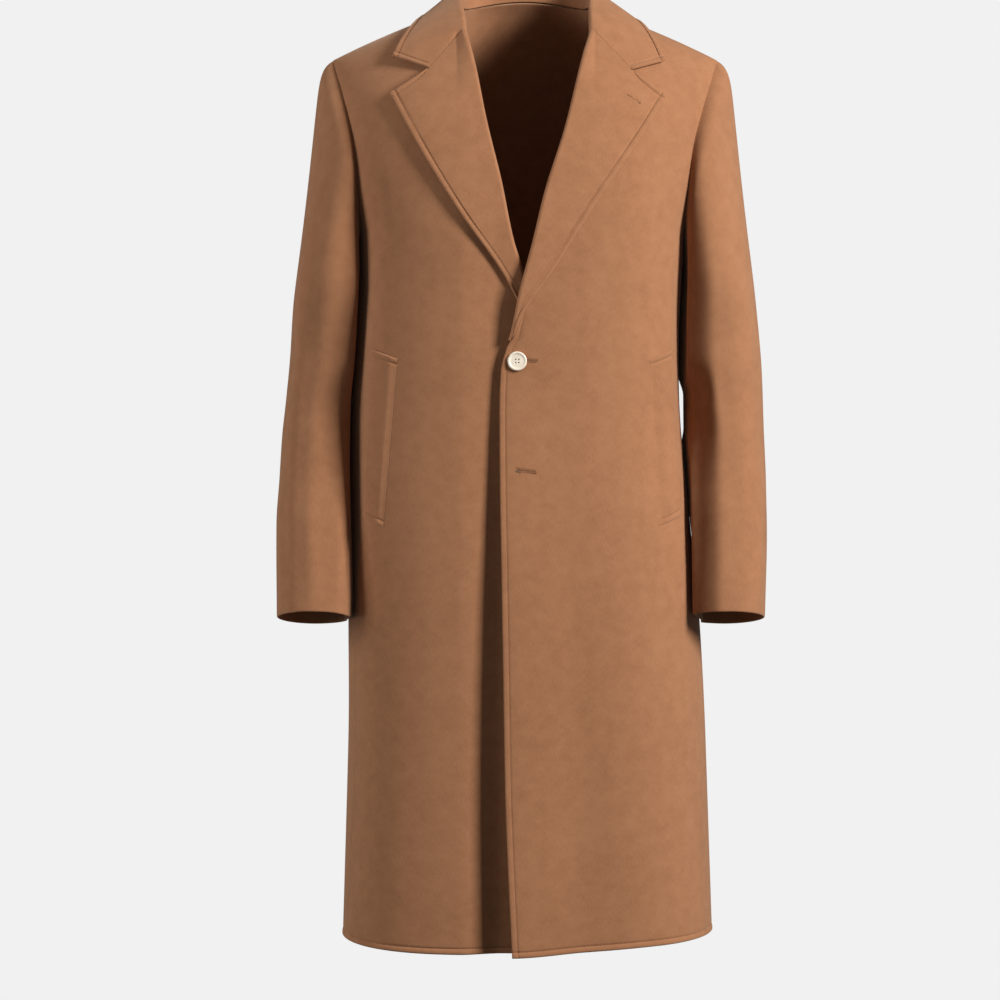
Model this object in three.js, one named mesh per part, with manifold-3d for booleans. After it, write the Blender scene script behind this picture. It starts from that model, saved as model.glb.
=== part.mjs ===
// A long single-breasted wool overcoat that keeps the hollow form it has when worn.
// Millimetres: +X is the wearer's left, -Y the front, +Z up. The origin lies midway between the
// neck ends of the two shoulder seams. Every panel is a thin wall: a grid of points on the cloth's
// outer face, and the same grid moved in by the cloth's thickness.
import * as THREE from 'three';
import { mergeVertices } from 'three/addons/utils/BufferGeometryUtils.js';
import Module from 'manifold-3d';

// Cloth and seams
const clothThickness = 2.6;
const turnedThickness = 2.8; // collar, lapels and welts, two layers pressed together
const seamGap = 0.3;
const edgeGap = 0.7; // between a front's edge and the cloth that rolls round it

// Main lengths of the coat
const hemZ = -1093;
const underarmZ = -276;
const neckX = 77;
const shoulderTipX = 226;
const shoulderTipY = 4;
const shoulderFall = 0.3223; // slope of the shoulder seam at the neck, and how it grows outwards
const shoulderBend = 0.00058;
const backNeckRise = 15;
const frontRounding = 125; // depth below the shoulder seam over which the front rounds away
const backRounding = 110;
const breakZ = -392; // where the lapel's roll ends at the front edge
const belowBreakZ = -412;
const gorgeZ = -36; // where the collar's seam meets the roll line

// Outline of the body by height: middle, half width, depth of the front and of the back
const roundness = 2.4;
const bodyLevels = [
  { z: -1093, middle: 3, half: 218.5, front: 150, back: 140 },
  { z: -861, middle: 2.3, half: 211, front: 146, back: 134 },
  { z: -700, middle: -2, half: 206.5, front: 142, back: 130 },
  { z: -590, middle: -8, half: 201, front: 138, back: 128 },
  { z: -460, middle: -11, half: 192.5, front: 133, back: 118 },
  { z: -380, middle: -9.5, half: 190.5, front: 134, back: 116 },
  { z: -276, middle: -4.5, half: 191, front: 136, back: 124 },
  { z: -208, middle: -2.5, half: 203.5, front: 130, back: 128 },
  { z: -160, middle: -1.5, half: 211, front: 121, back: 126 },
  { z: -112, middle: -0.5, half: 220, front: 108, back: 118 },
  { z: -61, middle: 0, half: 226, front: 92, back: 104 },
  { z: 0, middle: 0, half: 228, front: 78, back: 85 },
  { z: 15, middle: 0, half: 228, front: 72, back: 75 },
];

// The side seam's angle in front of the body's side, by height
const sideSeam = [
  { z: -1093, degrees: 14 },
  { z: -861, degrees: 17 },
  { z: -590, degrees: 12 },
  { z: -276, degrees: 0 },
];

// The hem hangs a little higher at the sides, most on the wearer's left: rise by place round the body
const hemRise = [
  { degrees: -90, rise: 5 },
  { degrees: 0, rise: 9 },
  { degrees: 40, rise: 7.5 },
  { degrees: 65, rise: 3.5 },
  { degrees: 95, rise: 0 },
  { degrees: 125, rise: 0 },
  { degrees: 180, rise: 3 },
  { degrees: 270, rise: 5 },
];
const hemRiseTop = -640; // the height at which the rise has faded out

// Armhole: an upright loop, its turn counted from the shoulder tip over the front to the underarm
const armholeTurns = [0, 10, 20, 30, 40, 54, 72, 90, 108, 127, 147, 165, 180];
const gorgeTurn = 4;
const armholeFront = 15.8; // degrees in front of the side at half height
const armholeBack = 19;

// Front edges: distance from the middle, towards the side that the panel covers
const leftFrontEdge = [
  { z: -1093, x: -14.9 },
  { z: -686, x: -26 },
  { z: -561, x: -28.7 },
  { z: -470, x: -29.5 },
  { z: -427, x: -28.3 },
  { z: -412, x: -26 },
  { z: -392, x: -16.5 },
  { z: -365, x: -9.6 },
  { z: -343, x: -5 },
  { z: -285, x: 10.5 },
  { z: -227, x: 24.5 },
  { z: -151, x: 48.1 },
  { z: -65.5, x: 68.7 },
  { z: -36, x: 76.2 },
  { z: -18, x: 77.4 },
  { z: 0, x: 77 },
];
const rightFrontEdge = [
  { z: -1093, x: -12 },
  { z: -412, x: -11.5 },
  { z: -392, x: -10 },
  { z: -370, x: -6 },
  { z: -340, x: 0.5 },
  { z: -304, x: 10.2 },
  { z: -283, x: 17.2 },
  { z: -213, x: 31.7 },
  { z: -146, x: 47.8 },
  { z: -74.7, x: 61.8 },
  { z: -36, x: 71 },
  { z: -18, x: 75.2 },
  { z: 0, x: 77 },
];

// How far the overlapping front stands forward and the one beneath falls back, by height
const frontLift = [
  { z: -1093, forward: 15, back: 13 },
  { z: -700, forward: 9, back: 8 },
  { z: -541, forward: 5, back: 6.5 },
  { z: -416, forward: 3, back: 4.2 },
  { z: -345, forward: 7, back: 6 },
  { z: -276, forward: 4.5, back: 4 },
  { z: -180, forward: 1, back: 1 },
  { z: 0, forward: 0, back: 0 },
];

// Soft folds of the skirt and back: place round the body, width, height, and where they fade in
const bodyFolds = [
  { degrees: 38, width: 15, height: 3.5, top: -640, bottom: -1040 },
  { degrees: 64, width: 10, height: -3, top: -560, bottom: -900 },
  { degrees: 118, width: 11, height: -3.5, top: -470, bottom: -860 },
  { degrees: 146, width: 14, height: 3, top: -640, bottom: -1040 },
  { degrees: 205, width: 13, height: 5, top: -560, bottom: -1040 },
  { degrees: 232, width: 12, height: -6, top: -420, bottom: -980 },
  { degrees: 258, width: 13, height: 6, top: -470, bottom: -1040 },
  { degrees: 286, width: 12, height: -6, top: -400, bottom: -1000 },
  { degrees: 312, width: 14, height: 5, top: -560, bottom: -1040 },
  { degrees: 338, width: 11, height: -4, top: -600, bottom: -1000 },
];

// Sleeves below the armhole: outer and inner edge, middle of the depth and half the depth
const sleeveTopZ = -320;
const cuffZ = -714;
const cuffTilt = 11;
const leftSleeve = [
  { z: -730, outer: 278.5, inner: 189, y: -50, depth: 55 },
  { z: -696, outer: 280, inner: 184, y: -46, depth: 55 },
  { z: -602, outer: 283.2, inner: 180, y: -26, depth: 57 },
  { z: -554, outer: 283.2, inner: 178, y: -12, depth: 59 },
  { z: -520, outer: 282.5, inner: 181, y: -3, depth: 61 },
  { z: -494, outer: 281.5, inner: 187, y: 1, depth: 62 },
  { z: -455, outer: 280.6, inner: 187, y: 5, depth: 63 },
  { z: -430, outer: 279.6, inner: 178, y: 5, depth: 64 },
  { z: -412, outer: 278.5, inner: 164, y: 5, depth: 65 },
  { z: -342, outer: 271.4, inner: 166, y: 1, depth: 71 },
  { z: -320, outer: 269, inner: 168, y: 0, depth: 74 },
];
const rightSleeve = [
  { z: -730, outer: 289.5, inner: 203, y: -50, depth: 54 },
  { z: -696, outer: 290, inner: 201, y: -46, depth: 54 },
  { z: -602, outer: 291.5, inner: 199, y: -26, depth: 56 },
  { z: -554, outer: 289, inner: 198, y: -12, depth: 58 },
  { z: -507, outer: 286.7, inner: 198, y: -1, depth: 60 },
  { z: -460, outer: 282, inner: 196, y: 5, depth: 62 },
  { z: -412, outer: 277.3, inner: 184, y: 5, depth: 64 },
  { z: -342, outer: 272.6, inner: 182, y: 1, depth: 70 },
  { z: -320, outer: 269.5, inner: 184, y: 0, depth: 74 },
];
const sleeveClearance = 1.6; // between a sleeve and the body it hangs beside
const capSteps = [0, 0.02, 0.05, 0.1, 0.17, 0.27, 0.4, 0.55, 0.75, 1];
const armSteps = 10;
const capOut = 14; // how far the sleeve head swells out, forward and up
const capForward = 9;
const capRise = 3;
const forwardSeam = 10; // armhole turns where the two sleeve pieces meet
const hindSeam = 15;

// Soft folds of a sleeve: height on the arm, place round it, half length, half width and height
const sleeveFolds = [
  { z: -372, degrees: 78, length: 26, width: 38, height: -3.5 },
  { z: -452, degrees: 96, length: 22, width: 42, height: -4 },
  { z: -500, degrees: 62, length: 20, width: 36, height: 2.5 },
  { z: -560, degrees: 100, length: 24, width: 34, height: -3 },
  { z: -470, degrees: 262, length: 26, width: 44, height: 4 },
  { z: -540, degrees: 286, length: 24, width: 36, height: -3 },
  { z: -640, degrees: 60, length: 30, width: 30, height: -2.5 },
];

// Lapels: outer edge from the bottom to the tip, and how high its edge stands off the front
const rollRadius = 4;
const breakRadius = 3.2;
const leftLapel = {
  top: 5.6,
  edge: [
    { z: -386, x: -13.5 },
    { z: -370, x: -7 },
    { z: -348, x: 5.6 },
    { z: -332, x: 17.8 },
    { z: -307, x: 35.1 },
    { z: -265, x: 61.4 },
    { z: -226.7, x: 86.2 },
    { z: -164.5, x: 128.7 },
    { z: -109.5, x: 163.2 },
  ],
};
const rightLapel = {
  top: 10.5,
  edge: [
    { z: -378, x: -3.5 },
    { z: -344, x: 11.6 },
    { z: -316, x: 26.8 },
    { z: -250, x: 73.3 },
    { z: -179.6, x: 117.5 },
    { z: -107.3, x: 156.8 },
  ],
};
const rollSteps = 4;
const notchStep = 3; // steps of a lapel's width from the roll to the notch, and in all
const lapelSteps = 6;

// Collar: notch and tip on each front, then its outer edge round to the middle of the back
const leftCollar = {
  notch: { x: 121.8, z: -80.1 },
  tip: { x: 162.5, z: -67 },
  top: 7,
  shoulder: 131,
  lean: 0.1,
};
const rightCollar = {
  notch: { x: 111.3, z: -78.8 },
  tip: { x: 154.3, z: -62.6 },
  top: 9,
  shoulder: 119,
  lean: 0.36,
};
const shoulderPart = 0.41;
const shoulderTop = 4.6; // height of the collar's outer edge above the shoulder seam
const collarEdge = [
  { part: 0.62, x: 107, y: 54, z: -9 },
  { part: 0.82, x: 66, y: 90, z: -15 },
  { part: 1, x: 0, y: 101, z: -18 },
];
const collarStand = [
  { part: 0, height: 0 },
  { part: 0.28, height: 11 },
  { part: 0.41, height: 20 },
  { part: 0.7, height: 28 },
  { part: 1, height: 31 },
];
const backLean = 0.22;
const fallSwell = 0.8;
const collarSteps = 4;
const notchSteps = 3;
const footStep = 0.3; // height of the stand at its front end
const neckColumns = 5;

// Pocket welts: corners on the front, seam side first, and how far the free edge lifts
const leftWelt = {
  seam: [{ x: 141.5, z: -413 }, { x: 153.5, z: -606 }],
  free: [{ x: 169.5, z: -402 }, { x: 180.5, z: -594 }],
};
const rightWelt = {
  seam: [{ x: 147.1, z: -412.7 }, { x: 163.6, z: -606.8 }],
  free: [{ x: 176.9, z: -402 }, { x: 188, z: -594.9 }],
};
const weltGap = 0.5;
const weltLift = 1.2;
const weltRows = 9;
const weltColumns = 3;

// Buttons and the holes worked for them
const buttonX = -10;
const upperButtonZ = -416;
const lowerButtonZ = -541;
const holeEye = 2.4;
const holeSlit = 1.3;
const holeLength = 22.5;
const lapelHole = { eye: { x: 130.2, z: -121 }, end: { x: 116.6, z: -111.2 }, radius: 1.6, slit: 1.2 };
const button = { radius: 11, rim: 1.5, dish: 0.9, thickness: 3.4, shank: 1.5, hole: 0.9, spacing: 1.9 };

const clamp = (value, low, high) => Math.min(high, Math.max(low, value));
const mix = (from, to, part) => from + (to - from) * part;
const radians = (degrees) => (degrees * Math.PI) / 180;
const point = (x, y, z) => new THREE.Vector3(x, y, z);
const smooth = (value) => {
  const part = clamp(value, 0, 1);
  return part * part * (3 - 2 * part);
};

// A smooth curve through one column of a table, without overshoot, flat beyond its ends
function curve(table, key, column) {
  const rows = [...table].sort((a, b) => a[key] - b[key]);
  const at = rows.map((row) => row[key]);
  const value = rows.map((row) => row[column]);
  const slope = at.slice(1).map((end, i) => (value[i + 1] - value[i]) / (end - at[i]));
  const tangent = value.map((_, i) => {
    if (i === 0) return slope[0];
    if (i === value.length - 1) return slope[i - 1];
    if (slope[i - 1] * slope[i] <= 0) return 0;
    return (2 * slope[i - 1] * slope[i]) / (slope[i - 1] + slope[i]);
  });
  return (place) => {
    const here = clamp(place, at[0], at[at.length - 1]);
    let i = 0;
    while (i < at.length - 2 && here > at[i + 1]) i += 1;
    const width = at[i + 1] - at[i];
    const t = (here - at[i]) / width;
    const bend = value[i] * (1 + 2 * t) * (1 - t) ** 2 + value[i + 1] * t * t * (3 - 2 * t);
    return bend + width * (tangent[i] * t * (1 - t) ** 2 - tangent[i + 1] * t * t * (1 - t));
  };
}

const bodyMiddle = curve(bodyLevels, 'z', 'middle');
const bodyHalf = curve(bodyLevels, 'z', 'half');
const bodyFront = curve(bodyLevels, 'z', 'front');
const bodyBack = curve(bodyLevels, 'z', 'back');
const seamDegrees = curve(sideSeam, 'z', 'degrees');
const liftForward = curve(frontLift, 'z', 'forward');
const liftBack = curve(frontLift, 'z', 'back');
const riseOfHem = curve(hemRise, 'degrees', 'rise');
const frontEdge = {
  left: curve(leftFrontEdge, 'z', 'x'),
  right: curve(rightFrontEdge, 'z', 'x'),
};

// Sides: the wearer's left is +1 and right is -1; angles run from a side, forward positive
const LEFT = 1;
const RIGHT = -1;
const nameOf = (side) => (side === LEFT ? 'left' : 'right');

// Height of the shoulder seam above x, carried on as a round arch over the neck
const seamHeight = (x) => {
  const out = Math.max(Math.abs(x) - neckX, 0);
  return -out * (shoulderFall + shoulderBend * out);
};
const shoulderTipZ = seamHeight(shoulderTipX);
const ridgeHeight = (x) => (Math.abs(x) > neckX ? seamHeight(x) : neckX * (1 - (x / neckX) ** 2));
const neckHeight = (x) => (Math.abs(x) > neckX ? seamHeight(x) : backNeckRise * (1 - (x / neckX) ** 2));

function foldHeight(side, angle, z) {
  const degrees = side === LEFT ? angle : 180 - angle;
  let height = 0;
  for (const fold of bodyFolds) {
    const away = ((degrees - fold.degrees + 540) % 360) - 180;
    const fade = smooth((fold.top - z) / (fold.top - fold.bottom));
    height += fold.height * fade * Math.exp(-((away / fold.width) ** 2));
  }
  return height;
}

// The cloth's outer face at an angle and a height: a rounded ring, drawn in under the shoulder seam
function bodyPoint(side, angle, z) {
  const turn = radians(angle);
  const depth = angle > 0 ? bodyFront(z) : bodyBack(z);
  const wide = (Math.abs(Math.cos(turn)) / bodyHalf(z)) ** roundness;
  const deep = (Math.abs(Math.sin(turn)) / depth) ** roundness;
  const radius = (wide + deep) ** (-1 / roundness) + foldHeight(side, angle, z);
  const x = bodyMiddle(z) + side * radius * Math.cos(turn);
  const rounding = angle > 0 ? frontRounding : backRounding;
  const below = clamp((ridgeHeight(x) - z) / rounding, 0, 1);
  const drawn = Math.sqrt(1 - (1 - below) ** 2);
  const ridgeY = shoulderTipY * clamp((Math.abs(x) - neckX) / (shoulderTipX - neckX), 0, 1);
  let y = ridgeY + (-radius * Math.sin(turn) - ridgeY) * drawn;
  if (angle > 0 && side === LEFT) y -= liftForward(z) * smooth((60 - x) / 85);
  if (angle > 0 && side === RIGHT) y += liftBack(z) * smooth((x + 80) / 55);
  return point(x, y, z);
}

// Outward direction of that face; on the shoulder seam it has no forward or backward lean
function bodyNormal(side, angle, z) {
  const here = bodyPoint(side, angle, z);
  if (Math.abs(here.x) >= neckX - 0.01 && ridgeHeight(here.x) - z < 0.5) {
    const slope = shoulderFall + 2 * shoulderBend * Math.max(Math.abs(here.x) - neckX, 0);
    return point(Math.sign(here.x) * slope, 0, 1).normalize();
  }
  const step = 0.4;
  const round = bodyPoint(side, angle + step, z).sub(bodyPoint(side, angle - step, z));
  const up = bodyPoint(side, angle, z + step).sub(bodyPoint(side, angle, z - step));
  return round.cross(up).multiplyScalar(-side).normalize();
}

// The angle at which the ring of a height reaches x, from the side towards the far front
function angleAt(side, x, z) {
  let near = -20;
  let far = 130;
  for (let i = 0; i < 30; i += 1) {
    const middle = (near + far) / 2;
    if (side * bodyPoint(side, middle, z).x > side * x) near = middle;
    else far = middle;
  }
  return (near + far) / 2;
}

// A point at x and z, lifted off a front's outer face along that face's outward direction
function above(side, x, z, height) {
  const foot = { x, z };
  let normal = point(0, -1, 0);
  for (let i = 0; i < 5; i += 1) {
    normal = bodyNormal(side, angleAt(side, foot.x, foot.z), foot.z);
    foot.x = x - normal.x * height;
    foot.z = z - normal.z * height;
  }
  const face = bodyPoint(side, angleAt(side, foot.x, foot.z), foot.z);
  return { p: face.addScaledVector(normal, height), n: normal };
}

// The armhole's edge: its angle on the body and its height at a turn of 0 to 180 degrees
function armhole(side, turn, front) {
  const t = radians(turn);
  const middle = (shoulderTipZ + underarmZ) / 2;
  const half = (shoulderTipZ - underarmZ) / 2;
  const reach = front
    ? armholeFront * Math.sin(t) * (1 - 0.3 * Math.cos(t))
    : -armholeBack * Math.sin(t) * (1 - 0.1 * Math.cos(t));
  return { angle: reach, z: middle + half * Math.cos(t) };
}

// A closed wall between two grids of points of the same shape, each a list of rows. Each of its
// four-sided faces is parted along its shorter diagonal.
function wall(outer, inner) {
  const rows = outer.length;
  const columns = outer[0].length;
  const positions = [];
  for (const grid of [outer, inner]) {
    for (const row of grid) for (const p of row) positions.push(p.x, p.y, p.z);
  }
  const outside = (i, j) => i * columns + j;
  const inside = (i, j) => (rows + i) * columns + j;
  const index = [];
  const apart = (a, b) => [0, 1, 2].reduce((sum, k) => sum + (positions[3 * a + k] - positions[3 * b + k]) ** 2, 0);
  const quad = (a, b, c, d) => {
    if (apart(a, c) <= apart(b, d)) index.push(a, b, c, a, c, d);
    else index.push(b, c, d, b, d, a);
  };
  for (let i = 0; i < rows - 1; i += 1) {
    for (let j = 0; j < columns - 1; j += 1) {
      quad(outside(i, j), outside(i, j + 1), outside(i + 1, j + 1), outside(i + 1, j));
      quad(inside(i, j), inside(i + 1, j), inside(i + 1, j + 1), inside(i, j + 1));
    }
    const last = columns - 1;
    quad(outside(i, 0), outside(i + 1, 0), inside(i + 1, 0), inside(i, 0));
    quad(outside(i, last), inside(i, last), inside(i + 1, last), outside(i + 1, last));
  }
  for (let j = 0; j < columns - 1; j += 1) {
    const last = rows - 1;
    quad(outside(0, j), inside(0, j), inside(0, j + 1), outside(0, j + 1));
    quad(outside(last, j), outside(last, j + 1), inside(last, j + 1), inside(last, j));
  }
  const geometry = new THREE.BufferGeometry();
  geometry.setAttribute('position', new THREE.Float32BufferAttribute(positions, 3));
  geometry.setIndex(index);
  if (volumeOf(geometry) < 0) {
    for (let i = 0; i < index.length; i += 3) [index[i], index[i + 1]] = [index[i + 1], index[i]];
    geometry.setIndex(index);
  }
  return geometry;
}

// Six times the signed volume inside a mesh, positive where its faces point out
function volumeOf(geometry) {
  const corner = (i) => point().fromBufferAttribute(geometry.attributes.position, i);
  const index = geometry.index.array;
  let volume = 0;
  for (let i = 0; i < index.length; i += 3) {
    volume += corner(index[i]).dot(corner(index[i + 1]).cross(corner(index[i + 2])));
  }
  return volume;
}

// The wall of a grid of { p, n } points, its inner face a thickness behind the outer one
function wallOf(grid, thickness) {
  const outer = grid.map((row) => row.map((at) => at.p));
  const inner = grid.map((row) => row.map((at) => at.inner ?? at.p.clone().addScaledVector(at.n, -thickness)));
  return wall(outer, inner);
}

// Moves a point and its inner partner
function shift(at, by) {
  at.p.add(by);
  if (at.inner) at.inner.add(by);
}

// A point of the body's face at an angle and a height
const faceAt = (side, angle, z) => ({ p: bodyPoint(side, angle, z), n: bodyNormal(side, angle, z) });

// The same in a skirt, where rows close to the hem follow its rise
function skirtAt(side, angle, z) {
  const low = clamp((hemRiseTop - z) / (hemRiseTop - hemZ), 0, 1);
  return faceAt(side, angle, z + riseOfHem(side === LEFT ? angle : 180 - angle) * low ** 2);
}

// Seam round an armhole: where each piece's edge lies, half the seam gap from the other's. Where the
// two faces make a ridge the walls share a mitre; in a valley each keeps its own direction.
function armholeSeam(side) {
  const loop = [];
  for (const turn of armholeTurns) loop.push({ turn, front: true });
  for (const turn of [...armholeTurns].reverse().slice(1, -1)) loop.push({ turn, front: false });
  const points = loop.map(({ turn, front }) => {
    const edge = armhole(side, turn, front);
    return faceAt(side, edge.angle, edge.z);
  });
  const centre = point(side * 205, 0, (shoulderTipZ + underarmZ) / 2);
  const count = points.length;
  return points.map((at, i) => {
    const along = points[(i + 1) % count].p.clone().sub(points[(i + count - 1) % count].p).normalize();
    const toBody = at.n.clone().cross(along).normalize();
    if (toBody.dot(at.p.clone().sub(centre)) < 0) toBody.negate();
    const next = sleevePoint(side, loopAngle(i), at.p, capSteps[2]);
    const toSleeve = next.sub(at.p);
    toSleeve.addScaledVector(along, -toSleeve.dot(along)).normalize();
    const sleeveNormal = along.clone().cross(toSleeve).multiplyScalar(side).normalize();
    const valley = Math.atan2(toSleeve.dot(at.n), -toSleeve.dot(toBody));
    const away = (seamGap / 2) * Math.cos(Math.max(valley, 0) / 2);
    const inward = (seamGap / 2) * Math.sin(Math.max(valley, 0) / 2);
    const mitre = at.n.clone().add(sleeveNormal).normalize();
    const depth = clothThickness / Math.max(mitre.dot(at.n), 0.6);
    const edge = (normal, toward) => {
      const p = at.p.clone().addScaledVector(toward, away).addScaledVector(normal, -inward);
      const inner = valley < 0
        ? p.clone().addScaledVector(mitre, -depth)
        : p.clone().addScaledVector(normal, -clothThickness);
      return { p, n: normal, inner };
    };
    return { body: edge(at.n, toBody), sleeve: edge(sleeveNormal, toSleeve) };
  });
}

// Turn round the sleeve of the armhole loop's points: 0 outside, 90 front, 180 inside, 270 back
function loopAngle(i) {
  const last = armholeTurns.length - 1;
  return i <= last ? armholeTurns[i] : 360 - armholeTurns[2 * last - i];
}

const sleeveShape = {};
for (const [name, table] of [['left', leftSleeve], ['right', rightSleeve]]) {
  sleeveShape[name] = {};
  for (const column of ['outer', 'inner', 'y', 'depth']) {
    sleeveShape[name][column] = curve(table, 'z', column);
  }
}

// The smallest distance from the middle at which a point clears the body beside it
function clearOfBody(side, y, z, clearance) {
  const depth = (y < 0 ? bodyFront(z) : bodyBack(z)) + clearance;
  const deep = Math.min(1, (Math.abs(y) / depth) ** roundness);
  return side * bodyMiddle(z) + (bodyHalf(z) + clearance) * (1 - deep) ** (1 / roundness);
}

// A point on a sleeve's ring: an oval with soft folds, flattened where it hangs against the body
function sleeveRing(side, degrees, part) {
  const shape = sleeveShape[nameOf(side)];
  const turn = radians(degrees);
  const cuff = cuffZ - cuffTilt * -Math.sin(turn);
  const z = mix(sleeveTopZ, cuff, part);
  const middle = (shape.outer(z) + shape.inner(z)) / 2;
  const half = (shape.outer(z) - shape.inner(z)) / 2;
  let swell = 0;
  for (const fold of sleeveFolds) {
    const away = (((degrees - fold.degrees + 540) % 360) - 180) / fold.width;
    const along = (z - fold.z + away * fold.length * 0.5) / fold.length;
    swell += fold.height * Math.exp(-(away ** 2) - along ** 2);
  }
  const y = shape.y(z) - (shape.depth(z) + swell) * Math.sin(turn);
  const x = middle + (half + swell * 0.5) * Math.cos(turn);
  return point(side * Math.max(x, clearOfBody(side, y, z, sleeveClearance)), y, z);
}

// The sleeve head: from the armhole's edge to the ring below the underarm, swelling on the way
function sleevePoint(side, degrees, start, part) {
  const turn = radians(degrees);
  const end = sleeveRing(side, degrees, 0);
  const swell = (1 - part) ** 1.3 * (1 - Math.exp(-part / 0.045));
  const at = start.clone().lerp(end, part);
  at.x += side * capOut * swell * (1 + Math.cos(turn)) * 0.5;
  at.y -= capForward * swell * Math.sin(turn);
  at.z += capRise * swell * Math.max(Math.cos(turn), 0);
  return at;
}

// The whole tube of a sleeve as rows from the armhole to the cuff
function sleeveGrid(side, seam) {
  const rows = [];
  const count = seam.length;
  const starts = seam.map((at, i) => {
    const edge = i < armholeTurns.length
      ? armhole(side, armholeTurns[i], true)
      : armhole(side, armholeTurns[2 * (armholeTurns.length - 1) - i], false);
    return bodyPoint(side, edge.angle, edge.z);
  });
  for (const part of capSteps) {
    rows.push(starts.map((start, i) => ({ p: sleevePoint(side, loopAngle(i), start, part) })));
  }
  for (let k = 1; k <= armSteps; k += 1) {
    rows.push(starts.map((_, i) => ({ p: sleeveRing(side, loopAngle(i), k / armSteps) })));
  }
  rows.forEach((row, k) => row.forEach((at, i) => {
    const down = rows[Math.min(k + 1, rows.length - 1)][i].p.clone().sub(rows[Math.max(k - 1, 0)][i].p);
    const round = row[(i + 1) % count].p.clone().sub(row[(i + count - 1) % count].p);
    at.n = round.cross(down).multiplyScalar(side).normalize();
  }));
  rows[0] = seam.map((at) => at.sleeve);
  return rows;
}

// One piece of a sleeve: the tube's columns from one seam to the next, each edge set in a little
function sleevePiece(grid, first, last) {
  const count = grid[0].length;
  const piece = grid.map((row) => {
    const cut = [];
    for (let i = first; i <= last; i += 1) {
      const at = row[i % count];
      cut.push({ p: at.p.clone(), n: at.n, inner: at.inner?.clone() });
    }
    return cut;
  });
  for (const row of piece) {
    const end = row.length - 1;
    const start = row[1].p.clone().sub(row[0].p).normalize();
    const finish = row[end - 1].p.clone().sub(row[end].p).normalize();
    shift(row[0], start.multiplyScalar(seamGap / 2));
    shift(row[end], finish.multiplyScalar(seamGap / 2));
  }
  return wallOf(piece, clothThickness);
}

// Heights of a panel's rows below the armhole, closer together about the lapel's break
function lowerLevels() {
  const levels = [];
  const skirtRows = 13;
  const chestRows = 4;
  for (let i = 0; i <= skirtRows; i += 1) levels.push(mix(hemZ, belowBreakZ, i / skirtRows));
  for (let i = 0; i <= chestRows; i += 1) levels.push(mix(breakZ, underarmZ, i / chestRows));
  return levels;
}

// A row of a panel from its inner end to the armhole, rising towards the shoulder seam. The row's
// part of the way from underarm to seam is the same at every column.
function upperRow(side, turn, front, columns, innerAngle, topHeight) {
  const edge = armhole(side, turn, front);
  const tip = bodyPoint(side, edge.angle, edge.z);
  const rise = clamp((edge.z - underarmZ) / (topHeight(tip.x) - underarmZ), 0, 1);
  const row = [];
  for (let j = 0; j <= columns; j += 1) {
    let z = edge.z;
    let angle = edge.angle;
    for (let i = 0; i < 14; i += 1) {
      angle = mix(innerAngle(z, rise), edge.angle, j / columns);
      z = underarmZ + (topHeight(bodyPoint(side, angle, z).x) - underarmZ) * rise;
    }
    row.push(faceAt(side, angle, z));
  }
  return row;
}

const frontColumns = 11;

// A front from its free edge to the side seam, and above the underarm to the armhole
function frontGrid(side, seam) {
  const edgeX = frontEdge[nameOf(side)];
  const innerAngle = (z) => angleAt(side, side * edgeX(z), z);
  const rows = [];
  for (const z of lowerLevels()) {
    const row = [];
    const outer = seamDegrees(z);
    const inset = (seamGap / 2 / bodyHalf(z)) * (180 / Math.PI);
    for (let j = 0; j <= frontColumns; j += 1) {
      row.push(skirtAt(side, mix(innerAngle(z), outer + inset, j / frontColumns), z));
    }
    rows.push(row);
  }
  const innerHeight = (rise) => underarmZ * (1 - rise);
  const turns = armholeTurns.slice(0, -1).reverse();
  turns.forEach((turn) => {
    const inner = (z, rise) => innerAngle(innerHeight(rise));
    rows.push(upperRow(side, turn, true, frontColumns, inner, seamHeight));
  });
  for (const at of rows[rows.length - 1]) at.p.y -= seamGap / 2;
  const lowerCount = rows.length - turns.length;
  rows.forEach((row, i) => {
    if (i >= lowerCount - 1) row[frontColumns] = copyOf(seam[turns.length - (i - lowerCount + 1)].body);
  });
  const corner = rows[rows.length - 1][frontColumns];
  shift(corner, point(0, -seamGap / 2, 0));
  shift(rows[lowerCount - 1][frontColumns], point(0, -seamGap / 2, 0));
  return rows;
}

const copyOf = (at) => ({ p: at.p.clone(), n: at.n, inner: at.inner?.clone() });

const backColumns = 10; // on each side of the middle

// The back from side seam to side seam, and above the underarm from armhole to armhole
function backGrid(seams) {
  const halves = [RIGHT, LEFT].map((side) => {
    const rows = [];
    for (const z of lowerLevels()) {
      const inset = (seamGap / 2 / bodyHalf(z)) * (180 / Math.PI);
      const outer = seamDegrees(z) - inset;
      const row = [];
      for (let j = 0; j <= backColumns; j += 1) {
        row.push(skirtAt(side, mix(-90, outer, j / backColumns), z));
      }
      rows.push(row);
    }
    const turns = armholeTurns.slice(0, -1).reverse();
    turns.forEach((turn) => {
      rows.push(upperRow(side, turn, false, backColumns, () => -90, neckHeight));
    });
    const lowerCount = rows.length - turns.length;
    const seam = seams[nameOf(side)];
    const count = seam.length;
    rows.forEach((row, i) => {
      const above = i - lowerCount + 1;
      if (above >= 0) row[backColumns] = copyOf(seam[(armholeTurns.length - 1 + above) % count].body);
    });
    for (const at of rows[rows.length - 1]) {
      if (Math.abs(at.p.x) > neckX - 1) shift(at, point(0, seamGap / 2, 0));
    }
    shift(rows[lowerCount - 1][backColumns], point(0, seamGap / 2, 0));
    return rows;
  });
  return halves[0].map((row, i) => [...row.slice(1).reverse(), ...halves[1][i]]);
}

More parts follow.
